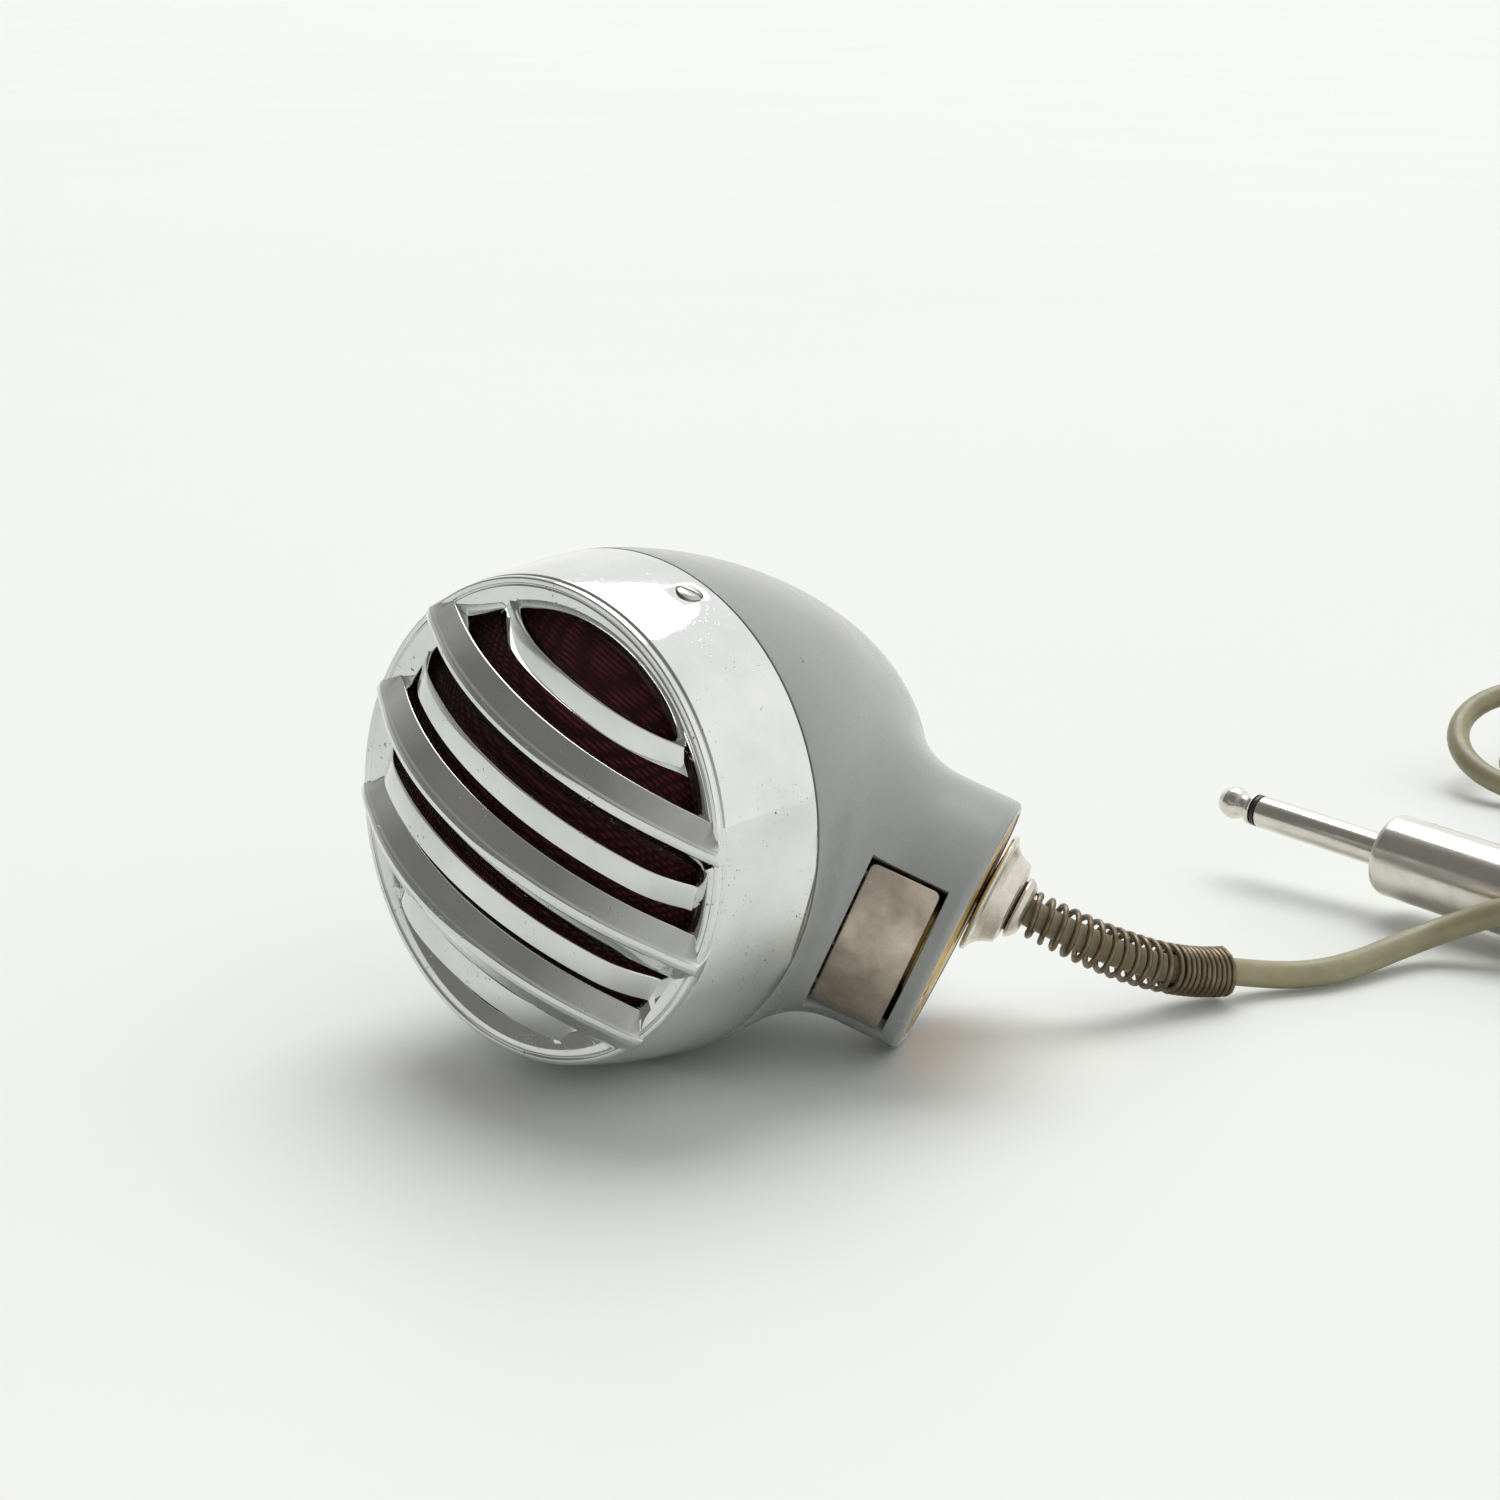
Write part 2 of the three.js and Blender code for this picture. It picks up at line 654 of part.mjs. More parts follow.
const atCon = (g) => g.translate(0, CON_Y, 0);
add(
  "connector_receptacle",
  atCon(
    latheZ(
      [
        [0, -53.0],
        [6.6, -53.0],
        [6.6, -50.65],
        [2.8, -50.65],
        [2.8, -44.6],
        [0, -44.6],
      ],
      20,
    ),
  ),
  NICKEL,
  END,
);
add("receptacle_nut", atCon(latheZ(ring(3.2, 4.1, -47.9, -45.9), 12)), BRASS, END);
add(
  "coupling_ring",
  atCon(
    latheZ(
      [
        [7.0, -50.95],
        [10.3, -50.95],
        [10.6, -51.3],
        [10.5, -51.8],
        [9.4, -52.2],
        [8.3, -53.2],
        [7.6, -54.5],
        [7.2, -55.6],
        [5.6, -56.1],
        [4.9, -56.1],
        [4.9, -54.9],
        [7.0, -54.0],
        [7.0, -50.95],
      ],
      32,
    ),
  ),
  NICKEL,
  END,
);
add(
  "connector_body",
  atCon(
    latheZ(
      [
        [0, -53.4],
        [6.2, -53.4],
        [6.2, -53.9],
        [4.5, -54.7],
        [4.5, -56.4],
        [5.4, -56.5],
        [5.5, -57.0],
        [4.9, -57.8],
        [4.1, -58.4],
        [3.4, -58.6],
        [2.8, -58.6],
        [2.8, -57.1],
        [0, -57.1],
      ],
      24,
    ),
  ),
  NICKEL,
  END,
);

// ---- cable, in the lying frame ----------------------------------------------------------------------
const onNose = (out) => new THREE.Vector3(0, CON_Y, NOSE_Z - out).applyMatrix4(END).applyMatrix4(LIE);
const nose = onNose(0);
const outward = onNose(1).sub(nose).normalize();
const point = (x, y, z) => new THREE.Vector3(x, y, z);
const sleeveEnd = point(62.8, 104.1, 4.75);
const sleeveOut = point(0.42, 0.905, -0.06).normalize();
const sleevePath = new THREE.CubicBezierCurve3(
  nose,
  nose.clone().addScaledVector(outward, 13),
  sleeveEnd.clone().addScaledVector(sleeveOut, -13),
  sleeveEnd,
);

// Wire wound round the cable: the first turns stand apart, the last ones touch.
class Sleeve extends THREE.Curve {
  constructor(path, turns) {
    super();
    this.path = path;
    this.turns = turns;
    this.frames = path.computeFrenetFrames(80, false);
  }
  getPoint(t, target = new THREE.Vector3()) {
    const share = t < 0.6 ? t * 1.25 : 0.75 + (t - 0.6) * 0.625;
    const i = Math.min(Math.round(share * 80), 80);
    const turn = 2 * Math.PI * this.turns * t;
    const radius = SPRING_R - WIRE_R;
    return target
      .copy(this.path.getPointAt(Math.min(share, 1)))
      .addScaledVector(this.frames.normals[i], radius * Math.cos(turn))
      .addScaledVector(this.frames.binormals[i], radius * Math.sin(turn));
  }
}
const sleeve = new Sleeve(sleevePath, 15);
add("strain_relief_spring", tube(sleeve, 128, WIRE_R, 4), NICKEL, NONE, true);

const hankAt = new THREE.Matrix4().makeRotationZ(HANK.turn).setPosition(HANK.x, HANK.y, 0);
const inHank = (x, side, z) => point(x, side, z).applyMatrix4(hankAt);
const cordPath = new THREE.CatmullRomCurve3(
  [
    onNose(-1.5),
    nose,
    ...[0.25, 0.5, 0.75].map((t) => sleevePath.getPointAt(t)),
    sleeveEnd,
    point(65.7, 110.3, 3.3),
    point(69.3, 115.2, 2.6),
    point(72.8, 121, 2.5),
    point(75.2, 129, 2.7),
    point(77, 137.3, 3.4),
    point(79.9, 144.8, 4.7),
    point(85.5, 149.4, 7.4),
    point(92.2, 152.3, 10.4),
    point(100, 154.5, 12.0),
    point(109, 157, 11.6),
    point(121, 161.5, 8.6),
    point(135, 171, 4.6),
    point(146, 190, 2.5),
    point(151, 215, 2.45),
    point(154, 247, 2.45),
    point(156, 280, 2.45),
    point(157, 305, 2.45),
    point(156.7, 329, 2.45),
    point(150.6, 343.6, 2.45),
    point(136, 350, 2.45),
    inHank(73, RUN, 2.6),
    inHank(57, RUN, 2.8),
    inHank(RUN_END, RUN, 3.3),
  ],
  false,
  "centripetal",
);
add("cord", tube(cordPath, 52, CORD_R, 8), CABLE, NONE, true);

// The rest of the cable is folded into a hank, held by a band of clear tape.
function stadium(length, width) {
  const outline = new THREE.Shape();
  const [half, r] = [(length - width) / 2, width / 2];
  for (let i = 0; i <= 10; i++) {
    const turn = -Math.PI / 2 + (Math.PI * i) / 10;
    const p = [half + r * Math.cos(turn), r * Math.sin(turn)];
    if (i) outline.lineTo(...p);
    else outline.moveTo(...p);
  }
  for (let i = 0; i <= 10; i++) {
    const turn = Math.PI / 2 + (Math.PI * i) / 10;
    outline.lineTo(-half + r * Math.cos(turn), r * Math.sin(turn));
  }
  outline.closePath();
  return outline;
}
const hankOutline = stadium(HANK.length - 4, HANK.width - 4);
const inside = stadium(HANK.length - 2 * HANK.bundle + 4, HANK.width - 2 * HANK.bundle + 4);
hankOutline.holes.push(new THREE.Path(inside.getPoints()));
const hank = new THREE.ExtrudeGeometry(hankOutline, {
  depth: HANK.height - 4,
  bevelThickness: 2,
  bevelSize: 2,
  bevelSegments: 2,
});
add("cord_hank", hank.translate(0, 0, HANK.base + 2).applyMatrix4(hankAt), CABLE, NONE, true);
const wide = HANK.width / 2 + GAP;
const top = HANK.base + HANK.height;
const tieOuter = solid(box(-5, 5, -wide - 0.5, wide + 0.5, 0.1, top + 0.8));
const tieInner = solid(box(-6, 6, -wide, wide, HANK.base - GAP, top + GAP));
const tie = geometryOf(tieOuter.subtract(tieInner)).applyMatrix4(hankAt);
add("hank_tie", tie, TAPE, NONE, true);

// ---- plug -------------------------------------------------------------------------------------------
// Turned about Z with the tip at z = 0, then laid along its own line on the floor.
const plugFront = point(59.7, 166.0, 11.2);
const plugTip = point(21.4, 169.3, 14.2);
const plugLine = plugTip.clone().sub(plugFront).normalize();
const plugTurn = new THREE.Quaternion().setFromUnitVectors(point(0, 0, -1), plugLine);
const PLUG = new THREE.Matrix4().compose(
  plugFront.clone().addScaledVector(plugLine, PLUG_SHAFT + GAP),
  plugTurn,
  point(1, 1, 1),
);
const plugPiece = (name, profile, look, sides) =>
  add(name, latheZ(profile, sides).applyMatrix4(PLUG), look, NONE, true);
plugPiece(
  "plug_tip",
  [
    [0, 0],
    [1.5, 0.3],
    [2.7, 1.6],
    [PLUG_R, 3.4],
    [2.3, 5.4],
    [2.2, 6.2],
    [PLUG_R, 7.6],
    [PLUG_R, 8.3],
    [0, 8.3],
  ],
  NICKEL,
  20,
);
plugPiece("plug_insulator", disc(PLUG_R - 0.1, 8.5, 9.5), RUBBER, 20);
plugPiece("plug_sleeve", disc(PLUG_R, 9.7, PLUG_SHAFT), NICKEL, 20);
const BACK = PLUG_SHAFT + GAP + BARREL_L;
plugPiece(
  "plug_barrel",
  [
    [0, BACK - BARREL_L],
    [BARREL_R - 1.2, BACK - BARREL_L],
    [BARREL_R - 0.3, BACK - BARREL_L + 0.4],
    [BARREL_R, BACK - BARREL_L + 1.4],
    [BARREL_R, BACK - 4],
    [BARREL_R - 1.4, BACK - 1.2],
    [BARREL_R - 3, BACK],
    [0, BACK],
  ],
  NICKEL,
  28,
);
const leave = point(0, 0, BACK + GAP).applyMatrix4(PLUG);
const tailPath = new THREE.CatmullRomCurve3(
  [
    leave,
    leave.clone().addScaledVector(plugLine, -8),
    point(118, 166, 4.4),
    point(128, 176, 2.5),
    point(134, 192, 2.45),
    point(138, 215, 2.45),
    point(141, 243, 2.45),
    point(144, 266, 2.45),
    point(144.2, 282.2, 3.1),
    point(138.9, 294.9, 5.6),
    point(126.2, 300.2, 9.2),
    inHank(RUN_END, -RUN, 11.8),
  ],
  false,
  "centripetal",
);
add("cord_tail", tube(tailPath, 30, CORD_R, 8), CABLE, NONE, true);

object.updateMatrixWorld(true);
const bounds = new THREE.Box3();
for (const piece of object.children) {
  if (!cordNames.has(piece.name)) bounds.expandByObject(piece, true);
}
const centre = bounds.getCenter(new THREE.Vector3());
for (const piece of object.children) piece.geometry.translate(-centre.x, -centre.y, -bounds.min.z);

export default object;
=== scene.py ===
"""Looks of the hand microphone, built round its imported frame.

Shapes are drawn in millimetres and set down in metres.
"""

import math

import bmesh
import bpy
import numpy as np
from mathutils import Matrix, Vector


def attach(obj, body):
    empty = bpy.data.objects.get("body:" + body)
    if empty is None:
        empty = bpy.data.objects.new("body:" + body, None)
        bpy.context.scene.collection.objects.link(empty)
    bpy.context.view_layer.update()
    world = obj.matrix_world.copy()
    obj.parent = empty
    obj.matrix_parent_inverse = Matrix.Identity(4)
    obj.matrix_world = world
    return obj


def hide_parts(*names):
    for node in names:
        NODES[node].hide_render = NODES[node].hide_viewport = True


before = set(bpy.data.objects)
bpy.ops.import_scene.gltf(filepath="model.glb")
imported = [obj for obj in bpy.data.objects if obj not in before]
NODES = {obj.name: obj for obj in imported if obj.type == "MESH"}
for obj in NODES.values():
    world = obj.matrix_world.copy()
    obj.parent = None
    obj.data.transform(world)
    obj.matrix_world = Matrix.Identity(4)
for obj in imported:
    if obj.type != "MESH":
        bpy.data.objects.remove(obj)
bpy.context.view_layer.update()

# ---- places -----------------------------------------------------------------------------------
# The microphone is drawn upright (front towards -Y, up +Z) and laid down; the stem has a frame of
# its own, and its end face leans a little off square in END. FLOOR is the frame the cable is drawn in.
METRES = Matrix.Scale(0.001, 4)
FLOOR = Matrix.Translation((-6.142, -35.513, 0.2923))
LIE = (
    FLOOR
    @ Matrix.Translation((0, 0, 42.3))
    @ Matrix.Rotation(-0.0559, 4, "X")
    @ Matrix.Rotation(-1.1319, 4, "Y")
)
TILT = 0.511
END_LEAN = 0.08
STEM_R = 22.5
STEM_END = 50.35
CORNER = Vector((0, STEM_R, STEM_END))
STEM_TURN = Matrix.Translation((0, 32.9, 0)) @ Matrix.Rotation(TILT, 4, "X")
END_TURN = (
    STEM_TURN
    @ Matrix.Translation(-CORNER)
    @ Matrix.Rotation(-END_LEAN, 4, "X")
    @ Matrix.Translation(CORNER)
)
STEM = LIE @ STEM_TURN
END = LIE @ END_TURN

RIM_R = 38.5
BAND_R = 41.2
BAND_D = 20.1
OPEN_R = 33.4
DOME_R = 60.0
DOME_H = 14.0
RIB_PITCH = 8.72
SHELL_L = 65.1
SHELL_P = 1.663
WALL = 2.4
STEM_BORE = 19.9
PLATE_SCREW_X = 16.9
BAND_SCREW_Y = 15.7
LEVER_PIN = (-15.8, -35.6)
WIRE_R = 0.52
STEM_EDGE = 1.3
BLEND = 7.0
CON_Y = 15.4
NOSE_Z = -59.1
BUSH_Y = -6.5
CORD_R = 2.4


# ---- camera -----------------------------------------------------------------------------------
def make_camera():
    data = bpy.data.cameras.new("camera")
    data.lens, data.sensor_width = 72.0, 36.0
    data.clip_start, data.clip_end = 0.02, 200.0
    camera = bpy.data.objects.new("camera", data)
    right = Vector((0.7607, 0.6491, -0.0008))
    down = Vector((0.1632, -0.1925, -0.9676))
    ahead = Vector((-0.6282, 0.7360, -0.2524))
    turn = Matrix((right, -down, -ahead)).transposed().to_4x4()
    camera.matrix_world = Matrix.Translation((0.3117, -0.3555, 0.1716)) @ turn
    bpy.context.collection.objects.link(camera)
    bpy.context.scene.camera = camera


make_camera()


# ---- meshes -----------------------------------------------------------------------------------
def new_object(name, verts, faces):
    mesh = bpy.data.meshes.new(name)
    mesh.from_pydata([tuple(v) for v in verts], [], faces)
    made = bmesh.new()
    made.from_mesh(mesh)
    bmesh.ops.recalc_face_normals(made, faces=made.faces)
    made.to_mesh(mesh)
    made.free()
    piece = bpy.data.objects.new(name, mesh)
    bpy.context.collection.objects.link(piece)
    return piece


def loft(name, rings, closed=False):
    """A solid over rings of equal length: capped at both ends, or closed back onto its first ring."""
    n = len(rings[0])
    verts = [p for r in rings for p in r]
    faces = []
    spans = len(rings) if closed else len(rings) - 1
    for s in range(spans):
        a, b = s * n, ((s + 1) % len(rings)) * n
        faces += [
            (a + i, a + (i + 1) % n, b + (i + 1) % n, b + i) for i in range(n)
        ]
    if not closed:
        faces.append(tuple(range(n)))
        faces.append(tuple((len(rings) - 1) * n + i for i in reversed(range(n))))
    return new_object(name, verts, faces)


def rounded(profile, radius, steps=3, closed=True):
    """A profile with each corner rounded, the radius cut where its neighbours are close."""
    points = [Vector(p) for p in profile]
    n, out = len(points), []
    for i, p in enumerate(points):
        if not closed and i in (0, n - 1):
            out.append(p)
            continue
        a, b = points[i - 1] - p, points[(i + 1) % n] - p
        turn = math.pi - a.angle(b)
        if turn < 0.12:
            out.append(p)
            continue
        cut = min(radius * math.tan(turn / 2), 0.45 * a.length, 0.45 * b.length)
        start, end = p + a.normalized() * cut, p + b.normalized() * cut
        for k in range(steps + 1):
            t = k / steps
            out.append(start.lerp(p, t).lerp(p.lerp(end, t), t))
    return out


def turned(name, profile, axis="Z", segments=96):
    """A profile of (radius, height) turned about an axis; it is closed, or both its ends are at radius 0."""
    closed = profile[0][0] > 0 or profile[-1][0] > 0
    verts, faces, rows = [], [], []
    for r, h in profile:
        if r < 1e-6:
            rows.append([len(verts)])
            verts.append((0, 0, h))
            continue
        rows.append(list(range(len(verts), len(verts) + segments)))
        for i in range(segments):
            turn = 2 * math.pi * i / segments
            verts.append((r * math.cos(turn), r * math.sin(turn), h))
    if closed:
        rows.append(rows[0])
    for a, b in zip(rows, rows[1:]):
        for i in range(segments):
            j = (i + 1) % segments
            if len(a) == 1 and len(b) > 1:
                faces.append((a[0], b[i], b[j]))
            elif len(b) == 1 and len(a) > 1:
                faces.append((a[i], a[j], b[0]))
            elif len(a) > 1:
                faces.append((a[i], a[j], b[j], b[i]))
    if axis == "Y":
        verts = [(x, h, y) for x, y, h in verts]
    elif axis == "X":
        verts = [(h, x, y) for x, y, h in verts]
    return new_object(name, verts, faces)


def block(name, low, high):
    xs, ys, zs = zip(low, high)
    ring = [(0, 0), (1, 0), (1, 1), (0, 1)]
    return loft(name, [[(xs[a], ys[b], z) for a, b in ring] for z in zs])


def shifted(piece, x=0.0, y=0.0, z=0.0):
    piece.data.transform(Matrix.Translation((x, y, z)))
    return piece


def baked(piece):
    """Applies the piece's modifiers."""
    bpy.context.view_layer.update()
    graph = bpy.context.evaluated_depsgraph_get()
    mesh = bpy.data.meshes.new_from_object(piece.evaluated_get(graph))
    piece.modifiers.clear()
    piece.data = mesh
    return piece


def combine(piece, other, operation, solver="EXACT"):
    step = piece.modifiers.new("combine", "BOOLEAN")
    step.object, step.operation, step.solver = other, operation, solver
    baked(piece)
    bpy.data.objects.remove(other)
    return piece


def edged(piece, width, degrees=35, segments=2):
    """Rounds the edges that are sharper than the angle."""
    made = bmesh.new()
    made.from_mesh(piece.data)
    bmesh.ops.remove_doubles(made, verts=made.verts, dist=0.002)
    bmesh.ops.dissolve_degenerate(made, dist=0.002, edges=made.edges)
    made.to_mesh(piece.data)
    made.free()
    step = piece.modifiers.new("edge", "BEVEL")
    step.width, step.segments, step.limit_method = width, segments, "ANGLE"
    step.angle_limit, step.use_clamp_overlap = math.radians(degrees), True
    step.miter_outer = "MITER_ARC"
    return baked(piece)


def settle(piece, place, body, stands_for=(), crease=32):
    """Sets a finished shape down in metres, with smooth faces, and rides it on its body."""
    piece.data.transform(METRES @ place)
    piece.data.shade_smooth()
    piece.data.set_sharp_from_angle(angle=math.radians(crease))
    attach(piece, body)
    if stands_for:
        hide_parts(*stands_for)
    return piece


# ---- cable ------------------------------------------------------------------------------------
def spline(points, step=2.5):
    """A centripetal curve through the points, sampled about every step."""
    p = [Vector(q) for q in points]
    p = [2 * p[0] - p[1], *p, 2 * p[-1] - p[-2]]
    out = []
    for p0, p1, p2, p3 in zip(p, p[1:], p[2:], p[3:]):
        t0 = 0.0
        t1 = t0 + (p1 - p0).length ** 0.5
        t2 = t1 + (p2 - p1).length ** 0.5
        t3 = t2 + (p3 - p2).length ** 0.5
        count = max(2, round((p2 - p1).length / step))
        for k in range(count):
            t = t1 + (t2 - t1) * k / count
            a1 = p0 * ((t1 - t) / (t1 - t0)) + p1 * ((t - t0) / (t1 - t0))
            a2 = p1 * ((t2 - t) / (t2 - t1)) + p2 * ((t - t1) / (t2 - t1))
            a3 = p2 * ((t3 - t) / (t3 - t2)) + p3 * ((t - t2) / (t3 - t2))
            b1 = a1 * ((t2 - t) / (t2 - t0)) + a2 * ((t - t0) / (t2 - t0))
            b2 = a2 * ((t3 - t) / (t3 - t1)) + a3 * ((t - t1) / (t3 - t1))
            out.append(b1 * ((t2 - t) / (t2 - t1)) + b2 * ((t - t1) / (t2 - t1)))
    out.append(p[-2])
    return out


def even(points, count):
    """The same line with its points equally far apart."""
    along = [0.0]
    for a, b in zip(points, points[1:]):
        along.append(along[-1] + (b - a).length)
    grid = np.linspace(0, along[-1], count)
    xyz = np.array([tuple(p) for p in points])
    return [Vector(q) for q in np.stack([np.interp(grid, along, xyz[:, k]) for k in range(3)], 1)]


def bezier(a, b, c, d, count):
    out = []
    for k in range(count + 1):
        t = k / count
        s = 1 - t
        out.append(s**3 * a + 3 * s * s * t * b + 3 * s * t * t * c + t**3 * d)
    return out


def line_length(points):
    return sum((b - a).length for a, b in zip(points, points[1:]))


TO_FLOOR = FLOOR.inverted() @ END
nose = TO_FLOOR @ Vector((0, CON_Y, NOSE_Z))
outward = (TO_FLOOR @ Vector((0, CON_Y, NOSE_Z - 1)) - nose).normalized()
sleeve_end = Vector((62.8, 104.1, 4.75))
sleeve_out = Vector((0.42, 0.905, -0.06)).normalized()
sleeve_line = bezier(nose, nose + outward * 13, sleeve_end - sleeve_out * 13, sleeve_end, 60)

PLUG_SHAFT = 38.2
BARREL_END = PLUG_SHAFT + 40.3
plug_front = Vector((59.7, 166.0, 11.2))
plug_line = (Vector((21.4, 169.3, 14.2)) - plug_front).normalized()
PLUG = FLOOR @ Matrix.Translation(plug_front + plug_line * (PLUG_SHAFT + 0.3)) @ (
    Vector((0, 0, -1)).rotation_difference(plug_line).to_matrix().to_4x4()
)
plug_back = plug_front - plug_line * (BARREL_END - PLUG_SHAFT)

# The hank: loops with straight runs, beside each other and in layers, its middle drawn in by a tie.
# Each loop reaches its own distance towards -X, where the top one stands up on edge.
HANK = Matrix.Translation((71, 292, 0)) @ Matrix.Rotation(0.55, 4, "Z")
HALF_RUN = 27.0
RUN = 19.2
TURN_STEP = 4.8
LOW_TURN = 2.9
WAIST = 4.4
WAIST_SPAN = 13.0
STEP_OFF = 5.4
STEP_SPAN = (5, 24)
SINK_SPAN = (14, 38)
LIFT_SPAN = (8, 34)
hank_turns = [
    (RUN, 0, 25.0, 0.0),
    (RUN - TURN_STEP, 0, 23.0, 0.0),
    (RUN - TURN_STEP, 1, 22.0, 0.0),
    (RUN, 1, 21.0, 0.0),
    (RUN, 2, 37.0, 0.38),
]


def drawn_in(x):
    return WAIST * math.exp(-((x / WAIST_SPAN) ** 2))


def eased(value, start, end):
    share = min(max((value - start) / (end - start), 0), 1)
    return share * share * (3 - 2 * share)


def loop_point(x, side, height, radius, lift):
    """A point of a loop; towards -X a lifted loop steps off its neighbours and its far run rises."""
    turn = lift * eased(-x, *LIFT_SPAN)
    away = side + radius
    if lift:
        radius += STEP_OFF * eased(-x, *STEP_SPAN)
        height -= 2 * TURN_STEP * eased(-x, *SINK_SPAN)
    return HANK @ Vector((x, away * math.cos(turn) - radius, height + away * math.sin(turn)))


def hank_line():
    out = []
    steps = 22
    for i, (radius, layer, reach, lift) in enumerate(hank_turns):
        height = LOW_TURN + TURN_STEP * layer
        last = i == len(hank_turns) - 1
        after, above = hank_turns[i][:2] if last else hank_turns[i + 1][:2]
        for k in range(steps):
            x = HALF_RUN - (HALF_RUN + reach) * k / steps
            out.append(loop_point(x, radius - drawn_in(x), height, radius, lift))
        for k in range(steps):
            turn = math.pi * k / steps
            x = -reach - radius * math.sin(turn)
            out.append(loop_point(x, radius * math.cos(turn), height, radius, lift))
        for k in range(steps):
            x = -reach + (HALF_RUN + reach) * k / steps
            out.append(loop_point(x, drawn_in(x) - radius, height, radius, lift))
        if last:
            out.append(loop_point(HALF_RUN, -radius, height, radius, lift))
            break
        for k in range(steps):
            share = k / steps
            turn = math.pi * share
            wide = radius + (after - radius) * (0.5 - 0.5 * math.cos(turn))
            level = height + TURN_STEP * (above - layer) * eased(share, 0, 0.5)
            x = HALF_RUN + wide * math.sin(turn)
            out.append(HANK @ Vector((x, -wide * math.cos(turn), level)))
    return out


def in_hank(x, side, z):
    return HANK @ Vector((x, side, z))


lead = spline(
    [
        TO_FLOOR @ Vector((0, CON_Y, NOSE_Z + 1.5)),
        nose,
        *[sleeve_line[k] for k in (15, 30, 45)],
        sleeve_end,
        (65.7, 110.3, 3.3),
        (69.3, 115.2, 2.6),
        (72.8, 121, 2.5),
        (75.2, 129, 2.7),
        (77, 137.3, 3.4),
        (79.9, 144.8, 4.7),
        (85.5, 149.4, 7.4),
        (92.2, 152.3, 10.4),
        (100, 154.5, 12.0),
        (109, 157, 11.6),
        (121, 161.5, 8.6),
        (135, 171, 4.6),
        (146, 190, 2.5),
        (151, 215, 2.45),
        (154, 247, 2.45),
        (156, 280, 2.45),
        (157, 305, 2.45),
        (156.7, 329, 2.45),
        (150.6, 343.6, 2.45),
        (136, 350, 2.45),
        in_hank(73, RUN, 2.6),
        in_hank(57, RUN, 2.8),
        in_hank(41, RUN, 2.9),
        in_hank(33, RUN, 2.9),
    ]
)
tail = spline(
    [
        in_hank(31, -RUN, 12.4),
        in_hank(41.2, -RUN, 11.8),
        (126.2, 300.2, 9.2),
        (138.9, 294.9, 5.6),
        (144.2, 282.2, 3.1),
        (144, 266, 2.45),
        (141, 243, 2.45),
        (138, 215, 2.45),
        (134, 192, 2.45),
        (128, 176, 2.5),
        (118, 166, 4.4),
        plug_back - plug_line * 8,
        plug_back + plug_line * 0.6,
    ]
)
cable_line = [*lead, *hank_line(), *tail]


def tube(name, points, radius, around):
    """A round wire or cable along a line given in the floor's frame, without twist."""
    last = len(points) - 1
    side, rings = None, []
    for i, p in enumerate(points):
        ahead = (points[min(i + 1, last)] - points[max(i - 1, 0)]).normalized()
        side = ahead.orthogonal() if side is None else side - ahead * side.dot(ahead)
        side.normalize()
        up = ahead.cross(side)
        turns = [2 * math.pi * k / around for k in range(around)]
        rings.append([p + (side * math.cos(t) + up * math.sin(t)) * radius for t in turns])
    return loft(name, rings)


